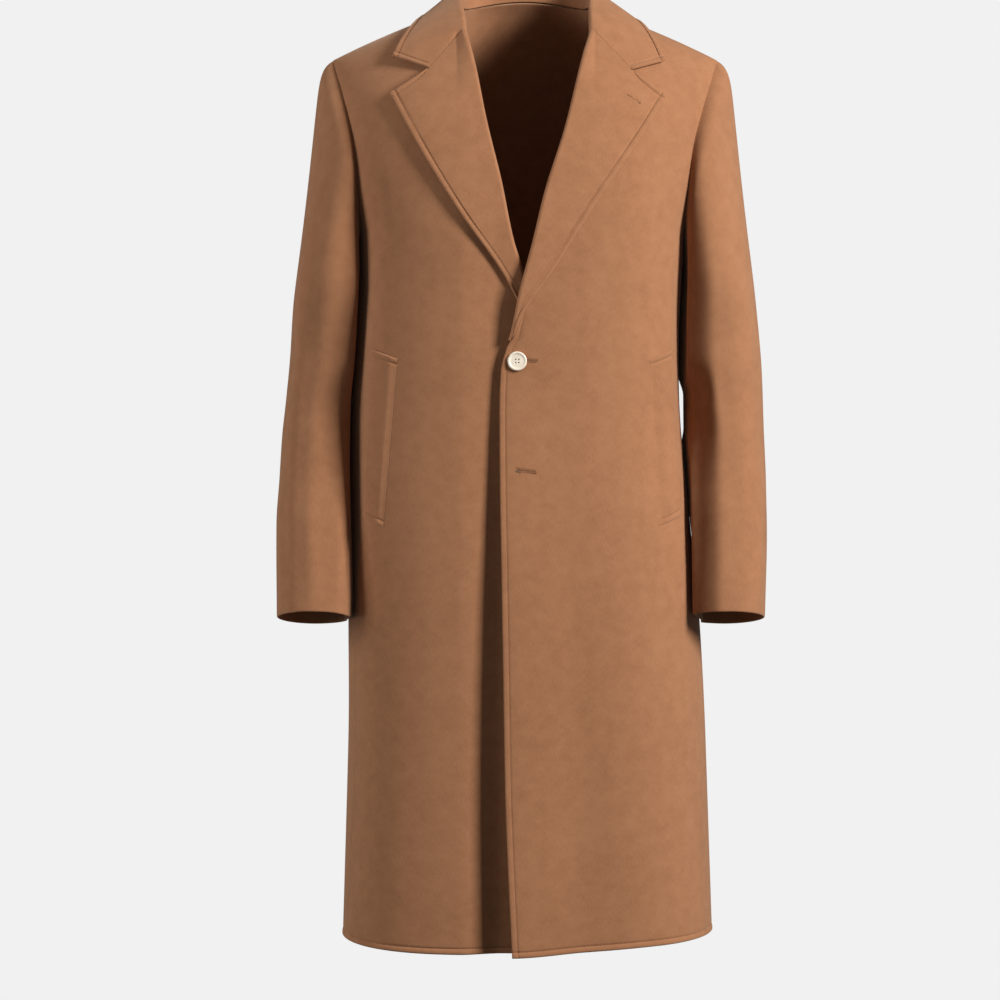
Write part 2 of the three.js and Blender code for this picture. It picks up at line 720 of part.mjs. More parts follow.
// Cloth that rolls round a front's edge: half a turn from behind the edge to above the face
function rollRound(edge, towards, radius, thickness, steps) {
  const out = towards.clone().sub(edge.p);
  out.addScaledVector(edge.n, -out.dot(edge.n)).normalize();
  const centre = edge.p.clone().addScaledVector(out, -edgeGap).addScaledVector(edge.n, radius - thickness);
  const turned = [];
  for (let k = 0; k <= steps; k += 1) {
    const turn = (Math.PI * k) / steps;
    const n = out.clone().multiplyScalar(-Math.sin(turn)).addScaledVector(edge.n, -Math.cos(turn));
    turned.push({ p: centre.clone().addScaledVector(n, radius), n });
  }
  return turned;
}

// Height of a lapel's or collar's top face above the front, from the roll to the outer edge
const faceHeight = (radius, top, part) => mix(2 * radius - turnedThickness, top, smooth(part));

// A lapel: rolled round the front's edge, then lying over the front out to its own outer edge
function lapelGrid(side, front, lapel, collar) {
  const edgeX = curve(lapel.edge, 'z', 'x');
  const bottomZ = lapel.edge[0].z;
  const tipZ = lapel.edge[lapel.edge.length - 1].z;
  const first = lowerLevels().indexOf(breakZ);
  const last = front.length - 1 - gorgeTurn;
  const rows = [];
  for (let i = first; i <= last; i += 1) {
    const edge = front[i][0];
    const rise = clamp((edge.p.z - breakZ) / (gorgeZ - breakZ), 0, 1);
    const radius = mix(breakRadius, rollRadius, smooth(rise * 3));
    const endZ = mix(bottomZ, tipZ, rise);
    const endX = side * edgeX(endZ);
    const top = mix(2 * breakRadius - turnedThickness, lapel.top, smooth(rise * 1.5));
    const towards = above(side, endX, mix(edge.p.z, endZ, smooth(rise * 4)), top).p;
    const row = rollRound(edge, towards, radius, turnedThickness, rollSteps);
    const start = row[rollSteps].p;
    const { notch } = collar;
    const notchPart = mix(0.5, (side * notch.x - start.x) / (endX - start.x), smooth(rise * 2 - 1));
    const notchX = mix(start.x, endX, notchPart);
    const straightZ = mix(start.z, endZ, notchPart);
    const notchZ = straightZ + (notch.z - straightZ) * smooth(rise * 3 - 2);
    for (let k = 1; k <= lapelSteps; k += 1) {
      const beyond = k - notchStep;
      const near = k / notchStep;
      const far = beyond / (lapelSteps - notchStep);
      const x = beyond < 0 ? mix(start.x, notchX, near) : mix(notchX, endX, far);
      const z = beyond < 0 ? mix(start.z, notchZ, near) : mix(notchZ, endZ, far);
      const part = (x - start.x) / (endX - start.x);
      row.push(above(side, x, z, faceHeight(radius, top, part)));
    }
    rows.push(row);
  }
  return rows;
}

// Points along the neckline from the gorge over the shoulder to the middle of the back
function neckline(front, back, side) {
  const points = [];
  for (let i = front.length - 1 - gorgeTurn; i < front.length; i += 1) points.push(front[i][0]);
  const top = back[back.length - 1];
  const middle = backColumns;
  const inner = top
    .map((at, j) => ({ at, j }))
    .filter(({ at, j }) => side * (j - middle) >= 0 && Math.abs(at.p.x) < neckX - 1)
    .sort((a, b) => Math.abs(b.at.p.x) - Math.abs(a.at.p.x));
  for (const { at } of inner) points.push(at);
  const length = [0];
  for (let i = 1; i < points.length; i += 1) {
    length.push(length[i - 1] + points[i].p.distanceTo(points[i - 1].p));
  }
  return points.map((at, i) => ({ ...at, part: length[i] / length[length.length - 1] }));
}

// Half of the collar from the gorge seam to the middle of the back: stand, fold and fall
function collarHalf(side, front, back, lapelRow, lapel, collar) {
  const heightAt = curve(collarStand, 'part', 'height');
  const tip = above(side, side * collar.tip.x, collar.tip.z, collar.top);
  const onShoulder = overShoulder(side, tip, collar, 1);
  const atShoulder = { part: shoulderPart, x: side * onShoulder.x, y: onShoulder.y, z: onShoulder.z };
  const edgeRows = [atShoulder, ...collarEdge];
  const edgeOf = {};
  for (const axis of ['x', 'y', 'z']) edgeOf[axis] = curve(edgeRows, 'part', axis);
  const stations = neckline(front, back, side);
  const rows = [];
  stations.forEach((at, i) => {
    if (i === 0) {
      rows.push(gorgeRow(side, lapelRow, lapel, collar));
      return;
    }
    const before = stations[Math.max(i - 1, 0)].p;
    const after = (stations[i + 1] ?? { p: point(-at.p.x, at.p.y, at.p.z) }).p;
    const along = after.clone().sub(before).setZ(0).normalize();
    const outward = point(side * -along.y, side * along.x, 0);
    if (outward.dot(point(at.p.x, at.p.y - 10, 0)) < 0) outward.negate();
    const blend = smooth(at.part / 0.3);
    const edgeFrame = stations[0];
    const gorgeOut = lapelRow[rollSteps + 1].p.clone().sub(lapelRow[rollSteps].p).normalize();
    const facing = edgeFrame.n.clone().lerp(outward, blend).normalize();
    const lean = mix(collar.lean, backLean, smooth((at.part - shoulderPart) / (1 - shoulderPart)));
    const upright = point(0, 0, 1).addScaledVector(outward, -lean);
    const rise = gorgeOut.clone().negate().lerp(upright, blend);
    rise.addScaledVector(facing, -rise.dot(facing)).normalize();
    const height = heightAt(at.part);
    const foot = at.p.clone().addScaledVector(rise, edgeGap).addScaledVector(facing, -turnedThickness);
    const end = at.part < shoulderPart
      ? overShoulder(side, tip, collar, at.part / shoulderPart)
      : point(side * edgeOf.x(at.part), edgeOf.y(at.part), edgeOf.z(at.part));
    rows.push(collarSection(foot, rise, facing, height, rollRadius, end));
  });
  return rows;
}

// The collar's outer edge from its tip to the shoulder seam, lying above the front
function overShoulder(side, tip, collar, part) {
  const foot = tip.p.clone().addScaledVector(tip.n, -collar.top);
  const x = mix(foot.x, side * (collar.shoulder - 2), part);
  const drop = (ridgeHeight(foot.x) - foot.z) * (1 - part) ** 2;
  const z = ridgeHeight(x) - drop;
  const angle = angleAt(side, x, z);
  const height = mix(collar.top, shoulderTop, smooth(part * 1.6));
  return bodyPoint(side, angle, z).addScaledVector(bodyNormal(side, angle, z), height);
}

// The collar's section at one place: up the stand, over the fold and down the fall
function collarSection(foot, rise, facing, height, radius, end) {
  const top = foot.clone().addScaledVector(rise, height);
  const centre = top.clone().addScaledVector(facing, radius);
  const onFold = (turn) => {
    const n = facing.clone().multiplyScalar(-Math.cos(turn)).addScaledVector(rise, Math.sin(turn));
    return { p: centre.clone().addScaledVector(n, radius), n };
  };
  let turn = Math.PI * 0.9;
  for (let i = 0; i < 6; i += 1) {
    const fall = end.clone().sub(onFold(turn).p);
    turn = Math.atan2(fall.dot(facing), fall.dot(rise));
    if (turn < 0) turn += 2 * Math.PI;
  }
  const row = [{ p: foot, n: facing.clone().negate() }];
  for (let k = 0; k <= rollSteps; k += 1) row.push(onFold((turn * k) / rollSteps));
  const start = row[row.length - 1];
  const steps = collarSteps + notchSteps;
  for (let k = 1; k <= steps; k += 1) {
    const part = k / steps;
    const p = start.p.clone().lerp(end, part);
    p.addScaledVector(start.n, fallSwell * Math.sin(Math.PI * part));
    row.push({ p, n: null });
  }
  return row;
}

// The collar's front end: along the gorge seam beside the lapel, then out to its tip
function gorgeRow(side, lapelRow, lapel, collar) {
  const start = lapelRow[rollSteps].p;
  const end = lapelRow[lapelRow.length - 1].p;
  const notch = lapelRow[rollSteps + notchStep].p;
  const seamUp = point(-(notch.z - start.z), 0, notch.x - start.x).multiplyScalar(side).normalize();
  const gap = seamUp.clone().multiplyScalar(seamGap);
  const row = [];
  for (let k = 0; k <= rollSteps; k += 1) {
    row.push({ p: lapelRow[k].p.clone().add(gap), n: lapelRow[k].n });
  }
  const foot = row[0].p.clone().addScaledVector(lapelRow[rollSteps / 2].n, -footStep);
  row.unshift({ p: foot, n: row[0].n });
  const corner = { x: notch.x + gap.x, z: notch.z + gap.z };
  for (let k = 1; k <= collarSteps; k += 1) {
    const part = k / collarSteps;
    const x = mix(start.x + gap.x, corner.x, part);
    const z = mix(start.z + gap.z, corner.z, part);
    const along = (x - gap.x - start.x) / (end.x - start.x);
    row.push(above(side, x, z, faceHeight(rollRadius, lapel.top, along)));
  }
  const notchHeight = faceHeight(rollRadius, lapel.top, (notch.x - start.x) / (end.x - start.x));
  for (let k = 1; k <= notchSteps; k += 1) {
    const part = k / notchSteps;
    const x = mix(corner.x, side * collar.tip.x, part);
    const z = mix(corner.z, collar.tip.z, part);
    row.push(above(side, x, z, mix(notchHeight, collar.top, part)));
  }
  return row;
}

// The whole collar, one side after the other, with the fall's outward directions worked out last
function collarGrid(parts) {
  const [right, left] = parts;
  const rows = [...right.slice(0, -1), ...left.slice().reverse()];
  const columns = rows[0].length;
  rows.forEach((row, i) => {
    for (let j = rollSteps + 2; j < columns; j += 1) {
      if (row[j].n) continue;
      const before = rows[Math.max(i - 1, 0)][j].p;
      const after = rows[Math.min(i + 1, rows.length - 1)][j].p;
      const across = row[Math.min(j + 1, columns - 1)].p.clone().sub(row[j - 1].p);
      row[j].n = after.clone().sub(before).cross(across).normalize();
      if (row[j].n.dot(row[rollSteps + 1].n) < 0) row[j].n.negate();
    }
  });
  return rows;
}

// A pocket welt: the front's own points, moved out, with its free edge lifted a little
function weltGrid(side, welt) {
  const rows = [];
  for (let i = 0; i <= weltRows; i += 1) {
    const row = [];
    for (let j = 0; j <= weltColumns; j += 1) {
      const down = i / weltRows;
      const across = j / weltColumns;
      const x = mix(mix(welt.seam[0].x, welt.seam[1].x, down), mix(welt.free[0].x, welt.free[1].x, down), across);
      const z = mix(mix(welt.seam[0].z, welt.seam[1].z, down), mix(welt.free[0].z, welt.free[1].z, down), across);
      const lift = weltLift * across ** 2 * Math.sin(Math.PI * down);
      row.push(above(side, side * x, z, turnedThickness + weltGap + lift));
    }
    rows.push(row);
  }
  return rows;
}

const wasm = await Module();
wasm.setup();

// A closed mesh as a solid that can be joined and cut, and back again
function solidOf(geometry) {
  const bare = geometry.clone();
  bare.deleteAttribute('normal');
  bare.deleteAttribute('uv');
  const merged = mergeVertices(bare, 1e-4);
  return new wasm.Manifold(new wasm.Mesh({
    numProp: 3,
    vertProperties: new Float32Array(merged.attributes.position.array),
    triVerts: new Uint32Array(merged.index.array),
  }));
}

function geometryOf(solid) {
  const mesh = solid.getMesh();
  const geometry = new THREE.BufferGeometry();
  geometry.setAttribute('position', new THREE.BufferAttribute(new Float32Array(mesh.vertProperties), 3));
  geometry.setIndex(new THREE.BufferAttribute(new Uint32Array(mesh.triVerts), 1));
  return geometry;
}

// A keyhole buttonhole as a cutter: a round eye and a straight slit, pushed through along an axis
function buttonholeCutter(length, eye, slit) {
  const shape = new THREE.Shape();
  const start = Math.asin(slit / 2 / eye);
  shape.moveTo(length, -slit / 2);
  shape.lineTo(length, slit / 2);
  shape.absarc(0, 0, eye, start, 2 * Math.PI - start, false);
  shape.closePath();
  const cutter = new THREE.ExtrudeGeometry(shape, { depth: 60, bevelEnabled: false, curveSegments: 12 });
  return cutter.translate(0, 0, -30).rotateX(Math.PI / 2);
}

// The same for the lapel: its eye is at the outer end and its slit slants up and inwards
function lapelHoleCutter() {
  const { eye, end, radius, slit } = lapelHole;
  const across = end.x - eye.x;
  const up = end.z - eye.z;
  const cutter = buttonholeCutter(Math.hypot(across, up), radius, slit);
  const depth = above(LEFT, eye.x, eye.z, 0).p.y - 30;
  return cutter.rotateY(-Math.atan2(up, across)).translate(eye.x, depth, eye.z);
}

// A four-hole button with a raised rim, facing -Y, its back at y = 0, on a stem of thread
function buttonGeometry(stem) {
  const { radius, rim, dish, thickness, shank, hole, spacing } = button;
  const profile = [
    [0, 0], [radius * 0.62, 0], [radius * 0.93, 0.9], [radius, 1.8], [radius * 0.97, thickness - 0.4],
    [radius - rim, thickness], [radius - rim - 1.4, thickness - dish], [0, thickness - dish],
  ].map(([x, y]) => new THREE.Vector2(x, y));
  let solid = solidOf(new THREE.LatheGeometry(profile, 28).rotateX(Math.PI));
  for (const across of [-spacing, spacing]) {
    for (const up of [-spacing, spacing]) {
      const drill = new THREE.CylinderGeometry(hole, hole, 12, 8);
      solid = solid.subtract(solidOf(drill.translate(across, 0, up)));
    }
  }
  const thread = new THREE.CylinderGeometry(shank, shank, stem + 0.6, 8);
  return geometryOf(solid.add(solidOf(thread.translate(0, stem / 2 - 0.3, 0))));
}

const wool = { roughness: 0.92, metalness: 0 };
const woolColours = { body: 0xa9764f, sleeve: 0x9d6c48, turned: 0xb58058, welt: 0xa3714b };
const horn = { color: 0xe6d6bf, roughness: 0.35, metalness: 0 };

const coat = new THREE.Group();

function add(name, geometry, look) {
  geometry.computeVertexNormals();
  const mesh = new THREE.Mesh(geometry, new THREE.MeshStandardMaterial(look));
  mesh.name = name;
  coat.add(mesh);
  return mesh;
}

const woolLook = (name) => ({ ...wool, color: woolColours[name] });
const seams = { left: armholeSeam(LEFT), right: armholeSeam(RIGHT) };
const fronts = { left: frontGrid(LEFT, seams.left), right: frontGrid(RIGHT, seams.right) };
const back = backGrid(seams);
const lapels = { left: leftLapel, right: rightLapel };
const collars = { left: leftCollar, right: rightCollar };
const lapelRows = {
  left: lapelGrid(LEFT, fronts.left, leftLapel, leftCollar),
  right: lapelGrid(RIGHT, fronts.right, rightLapel, rightCollar),
};

// The overlapping front has two keyhole buttonholes near its edge, and its lapel has one
let leftFront = solidOf(wallOf(fronts.left, clothThickness));
for (const z of [upperButtonZ, lowerButtonZ]) {
  const y = above(LEFT, buttonX, z, 0).p.y;
  const cutter = buttonholeCutter(holeLength, holeEye, holeSlit);
  leftFront = leftFront.subtract(solidOf(cutter.translate(buttonX, y, z)));
}
add('front_left', geometryOf(leftFront), woolLook('body'));
add('front_right', wallOf(fronts.right, clothThickness), woolLook('body'));
add('back', wallOf(back, clothThickness), woolLook('body'));

for (const side of [LEFT, RIGHT]) {
  const name = nameOf(side);
  const grid = sleeveGrid(side, seams[name]);
  const count = grid[0].length;
  add(`top_sleeve_${name}`, sleevePiece(grid, hindSeam, count + forwardSeam), woolLook('sleeve'));
  add(`under_sleeve_${name}`, sleevePiece(grid, forwardSeam, hindSeam), woolLook('sleeve'));
  let lapel = wallOf(lapelRows[name], turnedThickness);
  if (side === LEFT) lapel = geometryOf(solidOf(lapel).subtract(solidOf(lapelHoleCutter())));
  add(`lapel_${name}`, lapel, woolLook('turned'));
}

const collarParts = [RIGHT, LEFT].map((side) => {
  const name = nameOf(side);
  const rows = lapelRows[name];
  return collarHalf(side, fronts[name], back, rows[rows.length - 1], lapels[name], collars[name]);
});
add('collar', wallOf(collarGrid(collarParts), turnedThickness), woolLook('turned'));

add('welt_left', wallOf(weltGrid(LEFT, leftWelt), turnedThickness), woolLook('welt'));
add('welt_right', wallOf(weltGrid(RIGHT, rightWelt), turnedThickness), woolLook('welt'));

// The upper button is fastened: its thread stem passes the buttonhole's eye to the front beneath.
// The lower one sits on the front beneath, hidden by the one on top.
const buttonGap = 0.4;
const beneathY = (z) => above(RIGHT, buttonX, z, 0).p.y - seamGap;
const upperY = above(LEFT, buttonX, upperButtonZ, 0).p.y - buttonGap;
const upper = add('button_upper', buttonGeometry(beneathY(upperButtonZ) - upperY), horn);
upper.position.set(buttonX, upperY, upperButtonZ);
const lowerStem = 0.8;
const lower = add('button_lower', buttonGeometry(lowerStem), horn);
lower.position.set(buttonX, beneathY(lowerButtonZ) - lowerStem, lowerButtonZ);

export default coat;
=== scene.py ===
import math

import bpy
import numpy as np
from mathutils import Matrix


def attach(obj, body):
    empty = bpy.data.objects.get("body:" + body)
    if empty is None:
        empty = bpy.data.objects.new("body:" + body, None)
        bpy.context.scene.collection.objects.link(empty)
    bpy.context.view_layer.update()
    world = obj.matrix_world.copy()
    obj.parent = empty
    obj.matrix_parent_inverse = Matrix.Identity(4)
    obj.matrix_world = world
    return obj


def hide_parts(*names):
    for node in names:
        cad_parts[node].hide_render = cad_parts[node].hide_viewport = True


# Looks of a long single-breasted wool overcoat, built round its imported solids. Shapes are worked out
# in millimetres: +X is the wearer's left, -Y the front, +Z up, and the origin lies between the neck
# ends of the shoulder seams. Meshes are in metres.
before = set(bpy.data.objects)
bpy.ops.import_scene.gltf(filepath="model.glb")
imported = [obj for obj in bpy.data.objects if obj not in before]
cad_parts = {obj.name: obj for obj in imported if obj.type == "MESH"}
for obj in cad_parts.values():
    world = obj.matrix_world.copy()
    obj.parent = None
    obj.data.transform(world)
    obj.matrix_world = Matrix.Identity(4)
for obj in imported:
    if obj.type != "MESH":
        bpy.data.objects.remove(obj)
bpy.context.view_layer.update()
LEFT, RIGHT = 1, -1
SIDE_NAMES = {LEFT: "left", RIGHT: "right"}

# Studio. The camera stands 3.6 m in front of the coat, a little below the middle of the chest, and
# looks slightly down. A pale floor runs out into an even pale surround.
CAMERA_PLACE = (-0.0295, -3.6, -0.46)
CAMERA_TILT = 1.88
SURROUND = (0.879, 0.879, 0.879, 1)
AMBIENT = (1.0, 0.985, 0.97, 1)
FLOOR_HEIGHT = -1.46


def add_object(name, data):
    """A new object in the scene, at the origin."""
    made = bpy.data.objects.new(name, data)
    bpy.context.scene.collection.objects.link(made)
    return made


camera = add_object("camera", bpy.data.cameras.new("camera"))
camera.data.sensor_width = 36
camera.data.lens = 109.8
camera.data.clip_end = 100
camera.location = CAMERA_PLACE
camera.rotation_euler = (math.radians(90 - CAMERA_TILT), 0, 0)
bpy.context.scene.camera = camera
bpy.context.scene.view_settings.view_transform = "Standard"

world = bpy.data.worlds.new("studio")
bpy.context.scene.world = world
world.use_nodes = True
links, nodes = world.node_tree.links, world.node_tree.nodes
nodes.clear()
seen, lighting = nodes.new("ShaderNodeBackground"), nodes.new("ShaderNodeBackground")
seen.inputs["Color"].default_value = SURROUND
lighting.inputs["Color"].default_value = AMBIENT
lighting.inputs["Strength"].default_value = 0.11
chooser, rays = nodes.new("ShaderNodeMixShader"), nodes.new("ShaderNodeLightPath")
links.new(rays.outputs["Is Camera Ray"], chooser.inputs[0])
links.new(lighting.outputs[0], chooser.inputs[1])
links.new(seen.outputs[0], chooser.inputs[2])
links.new(chooser.outputs[0], nodes.new("ShaderNodeOutputWorld").inputs[0])


def area_light(name, place, aim, width, height, power):
    """A soft rectangular light at a place, facing a point."""
    light = bpy.data.lights.new(name, "AREA")
    light.shape = "RECTANGLE"
    light.size, light.size_y, light.energy = width, height, power
    lamp = add_object(name, light)
    lamp.location = place
    away = np.array(place) - np.array(aim)
    flat = math.hypot(away[0], away[1])
    lamp.rotation_euler = (math.atan2(flat, away[2]), 0, math.atan2(away[0], -away[1]))
    return lamp


area_light("key_light", (2.5, -1.9, 0.95), (0, 0, -0.5), 0.8, 1.05, 174)
area_light("fill_light", (-3.3, -0.9, 0.2), (0, 0, -0.6), 1.5, 2.0, 72)


class Shade:
    """An output socket of a material. Arithmetic on it adds Math nodes, and node() adds any other kind."""

    def __init__(self, tree, socket=None):
        self.tree = tree
        self.socket = socket

    def node(self, kind, settings=None, sockets=None, out=0):
        """Adds a node: its settings first, then values or links for its sockets, by name or number."""
        made = self.tree.nodes.new("ShaderNode" + kind)
        for key, value in (settings or {}).items():
            setattr(made, key, value)
        for key, value in (sockets or {}).items():
            if isinstance(value, Shade):
                self.tree.links.new(value.socket, made.inputs[key])
            else:
                made.inputs[key].default_value = value
        return Shade(self.tree, made.outputs[out] if made.outputs else None)

    def math(self, operation, *values):
        return self.node("Math", {"operation": operation}, dict(enumerate(values)))

    def __add__(self, other):
        return self.math("ADD", self, other)

    def __radd__(self, other):
        return self.math("ADD", other, self)

    def __sub__(self, other):
        return self.math("SUBTRACT", self, other)

    def __rsub__(self, other):
        return self.math("SUBTRACT", other, self)

    def __mul__(self, other):
        return self.math("MULTIPLY", self, other)

    def __rmul__(self, other):
        return self.math("MULTIPLY", other, self)


def new_material(name):
    """An empty node material, and a Shade to build it with."""
    material = bpy.data.materials.new(name)
    material.use_nodes = True
    material.node_tree.nodes.clear()
    return material, Shade(material.node_tree)


def floor_material():
    """Pale paper near the coat, which takes its shadow, and the surround's own brightness further out."""
    material, shade = new_material("pale_floor")
    place = shade.node("TexCoord", out=3)
    apart = shade.node("VectorMath", {"operation": "LENGTH"}, {0: place}, out=1)
    far = shade.node("MapRange", None, {0: apart, 1: 0.6, 2: 1.9, 3: 0.55, 4: 1.0})
    paper = shade.node("BsdfDiffuse", None, {"Color": (0.86, 0.86, 0.86, 1)})
    bright = shade.node("Emission", None, {"Color": SURROUND})
    shade.node("OutputMaterial", None, {0: shade.node("MixShader", None, {0: far, 1: paper, 2: bright})})
    return material


spokes, rings = 64, np.array([0, 0.5, 1, 1.5, 2, 3, 5, 9, 16, 30])
turn = np.linspace(0, 2 * np.pi, spokes, endpoint=False)
disc = np.stack([np.outer(rings, np.cos(turn)), np.outer(rings, np.sin(turn))], -1).reshape(-1, 2)
disc = np.column_stack([disc, np.full(len(disc), FLOOR_HEIGHT)])
ring, spoke = np.meshgrid(np.arange(len(rings) - 1), np.arange(spokes), indexing="ij")
here, beside = ring * spokes + spoke, ring * spokes + (spoke + 1) % spokes
floor_mesh = bpy.data.meshes.new("floor")
floor_mesh.from_pydata(disc, [], np.stack([here, here + spokes, beside + spokes, beside], -1).reshape(-1, 4))
floor_mesh.validate()
floor = add_object("floor", floor_mesh)
floor.data.materials.append(floor_material())
floor.visible_diffuse = False

# Coat cloth. Brushed coating wool, about 2.6 mm thick with a short flat nap: camel brown, with a faint
# mottle and fibres brushed down the piece, which hide the weave. Each piece's own UV map, in metres
# along and across it, carries the grain.
CAMEL = (0.335, 0.15, 0.071, 1)
CAMEL_LIGHT = (0.42, 0.205, 0.105, 1)
CAMEL_DARK = (0.21, 0.085, 0.037, 1)
THREAD_DARK = (0.2, 0.085, 0.037, 1)


def wool(name, tone=1.0):
    """Camel wool: a slow mottle, brushed flecks and a fine fuzz move the colour, roughness and bump."""
    material, shade = new_material(name)
    place = shade.node("TexCoord", out=3)
    along = shade.node("UVMap", {"uv_map": "UVMap"})
    brushed = shade.node("VectorMath", {"operation": "MULTIPLY"}, {0: along, 1: (1, 0.22, 1)})
    slow = shade.node("TexNoise", None, {"Vector": place, "Scale": 9, "Detail": 3, "Roughness": 0.6})
    cloudy = shade.node("TexNoise", None, {"Vector": place, "Scale": 70, "Detail": 2, "Roughness": 0.5})
    nap = shade.node("TexNoise", None, {"Vector": brushed, "Scale": 900, "Detail": 3, "Roughness": 0.6})
    fuzz = shade.node("TexNoise", None, {"Vector": place, "Scale": 2600, "Detail": 1, "Roughness": 0.6})
    lift = 0.10 * slow + 0.14 * cloudy + 0.21 * nap + 0.1 * fuzz
    light = shade.node("MapRange", None, {0: lift, 1: 0.2, 2: 0.37, 3: 0.0, 4: 1.0})
    base = tuple(c * tone for c in CAMEL[:3]) + (1,)
    pale = tuple(c * tone for c in CAMEL_LIGHT[:3]) + (1,)
    dark = tuple(c * tone for c in CAMEL_DARK[:3]) + (1,)
    high = light.math("MAXIMUM", light - 0.5, 0.0) * 0.9
    low = light.math("MAXIMUM", 0.5 - light, 0.0) * 0.9
    lit = shade.node("Mix", {"data_type": "RGBA"}, {0: high, 6: base, 7: pale}, out=2)
    colour = shade.node("Mix", {"data_type": "RGBA"}, {0: low, 6: lit, 7: dark}, out=2)
    height = 0.6 * nap + 0.4 * fuzz
    bump = shade.node("Bump", None, {"Strength": 0.35, "Distance": 0.0006, "Height": height})
    surface = shade.node("BsdfPrincipled", None, {
        "Base Color": colour,
        "Roughness": 0.84 + 0.14 * nap,
        "Normal": bump,
        "Specular IOR Level": 0.12,
        "Sheen Weight": 0.35,
        "Sheen Roughness": 0.45,
        "Sheen Tint": (0.95, 0.74, 0.56, 1),
    })
    shade.node("OutputMaterial", None, {0: surface})
    return material


def thread_material(name, dark, pale):
    """Matt thread between two tones of the cloth's colour, with a fine twist along it."""
    material, shade = new_material(name)
    place = shade.node("TexCoord", out=3)
    twist = shade.node("TexNoise", None, {"Vector": place, "Scale": 1800, "Detail": 1, "Roughness": 0.5})
    colour = shade.node("Mix", {"data_type": "RGBA"}, {0: twist, 6: dark, 7: pale}, out=2)
    bump = shade.node("Bump", None, {"Strength": 0.4, "Distance": 0.0002, "Height": twist})
    surface = shade.node("BsdfPrincipled", None, {
        "Base Color": colour,
        "Roughness": 0.6 + 0.2 * twist,
        "Normal": bump,
        "Specular IOR Level": 0.2,
    })
    shade.node("OutputMaterial", None, {0: surface})
    return material


THREAD = thread_material("sewing_thread", THREAD_DARK, CAMEL)
TWIST = thread_material("buttonhole_twist", CAMEL, CAMEL_LIGHT)
WOOL = {"body_cloth": wool("body_wool"), "sleeve_cloth": wool("sleeve_wool", 0.97)}
WOOL["turned_cloth"] = wool("turned_wool", 1.03)
WOOL["welt_cloth"] = wool("welt_wool", 0.99)

# Cutting and making up. Every piece of cloth is a closed shell: a grid of points on its outer face is
# laid anew with close lines by its four sides, where the turned edge is rounded and, 7 mm in, a row of
# stitches draws it in.
CLOTH = 2.6
TURNED_CLOTH = 2.8
SIDE_LINES = np.array([0.05, 0.3, 0.75, 1.35, 2.2, 4.0, 5.9, 6.5, 7.0, 7.5, 8.1, 10.0])
STITCH_LINE = 8
EDGE_RADIUS = 1.3
GROOVE_DEPTH, GROOVE_WIDTH, BEAD_HEIGHT = 0.9, 0.75, 0.75
STITCH_LENGTH, STITCH_PITCH, STITCH_RADIUS = 2.7, 4.0, 0.3
SEAM, PLAIN, TURNED = (0, 0), (1, 0), (1, 1)


def mix(start, end, part):
    """The point that far on the way from start to end."""
    return start + (end - start) * part


def smooth(value):
    """Rises from 0 to 1 with flat ends: 3t² - 2t³."""
    part = np.clip(value, 0, 1)
    return part * part * (3 - 2 * part)


def unit(vectors):
    """Each vector over its own length."""
    return vectors / np.maximum(np.linalg.norm(vectors, axis=-1, keepdims=True), 1e-9)


def dot(a, b):
    """The dot product of each pair of vectors, kept as a column."""
    return (a * b).sum(-1, keepdims=True)


def curve(table, column):
    """A smooth curve through a table's column by its first one: cubic pieces whose slopes are the harmonic
    mean of the slopes on both sides, so that it never overshoots. It is flat beyond the ends."""
    rows = np.array(sorted(table), float)
    at, value = rows[:, 0], rows[:, column]
    slope = np.diff(value) / np.diff(at)
    same_way = slope[:-1] * slope[1:] > 0
    total = np.where(same_way, slope[:-1] + slope[1:], 1)
    inner = np.where(same_way, 2 * slope[:-1] * slope[1:] / total, 0)
    tangent = np.concatenate([slope[:1], inner, slope[-1:]])

    def along(place):
        here = np.clip(place, at[0], at[-1])
        i = np.clip(np.searchsorted(at, here, side="right") - 1, 0, len(at) - 2)
        width = at[i + 1] - at[i]
        t = (here - at[i]) / width
        ends = value[i] * (1 + 2 * t) * (1 - t) ** 2 + value[i + 1] * t * t * (3 - 2 * t)
        return ends + width * (tangent[i] * t * (1 - t) ** 2 - tangent[i + 1] * t * t * (1 - t))

    return along


def lengths(grid):
    """How far each point is along its row."""
    step = np.linalg.norm(np.diff(grid, axis=1), axis=2)
    return np.concatenate([np.zeros((len(grid), 1)), np.cumsum(step, axis=1)], axis=1)


def relay(grid, count):
    """Lays the columns anew by length along each row: at SIDE_LINES from both ends, with count even steps
    in between. A new point lies on the straight line between two old ones."""
    length = lengths(grid)
    whole = length[:, -1:]
    near = SIDE_LINES[None, :] * np.minimum(1, 0.42 * whole / SIDE_LINES[-1])
    between = np.linspace(0, 1, count + 1)[None, 1:-1]
    middle = near[:, -1:] + (whole - 2 * near[:, -1:]) * between
    wanted = np.concatenate([near, middle, whole - near[:, ::-1]], axis=1)
    after = np.stack([np.searchsorted(a, b) for a, b in zip(length, wanted)])
    after = np.clip(after, 1, grid.shape[1] - 1)
    row = np.arange(len(grid))[:, None]
    start, end = length[row, after - 1], length[row, after]
    part = ((wanted - start) / np.maximum(end - start, 1e-9))[..., None]
    return mix(grid[row, after - 1], grid[row, after], part)


def along_side(weight, length):
    """A side's weight at each length along it: one number, or (share of the side, weight) pairs."""
    if np.ndim(weight) == 0:
        return np.full(len(length), float(weight))
    pairs = np.array(weight, float)
    return np.interp(length / length[-1], pairs[:, 0], pairs[:, 1])


def normals_of(grid, sign):
    """Outward directions: the cross product of the steps along a row and along a column."""
    across = np.gradient(grid, axis=1)
    along = np.gradient(grid, axis=0)
    return unit(np.cross(unit(across), unit(along))) * sign


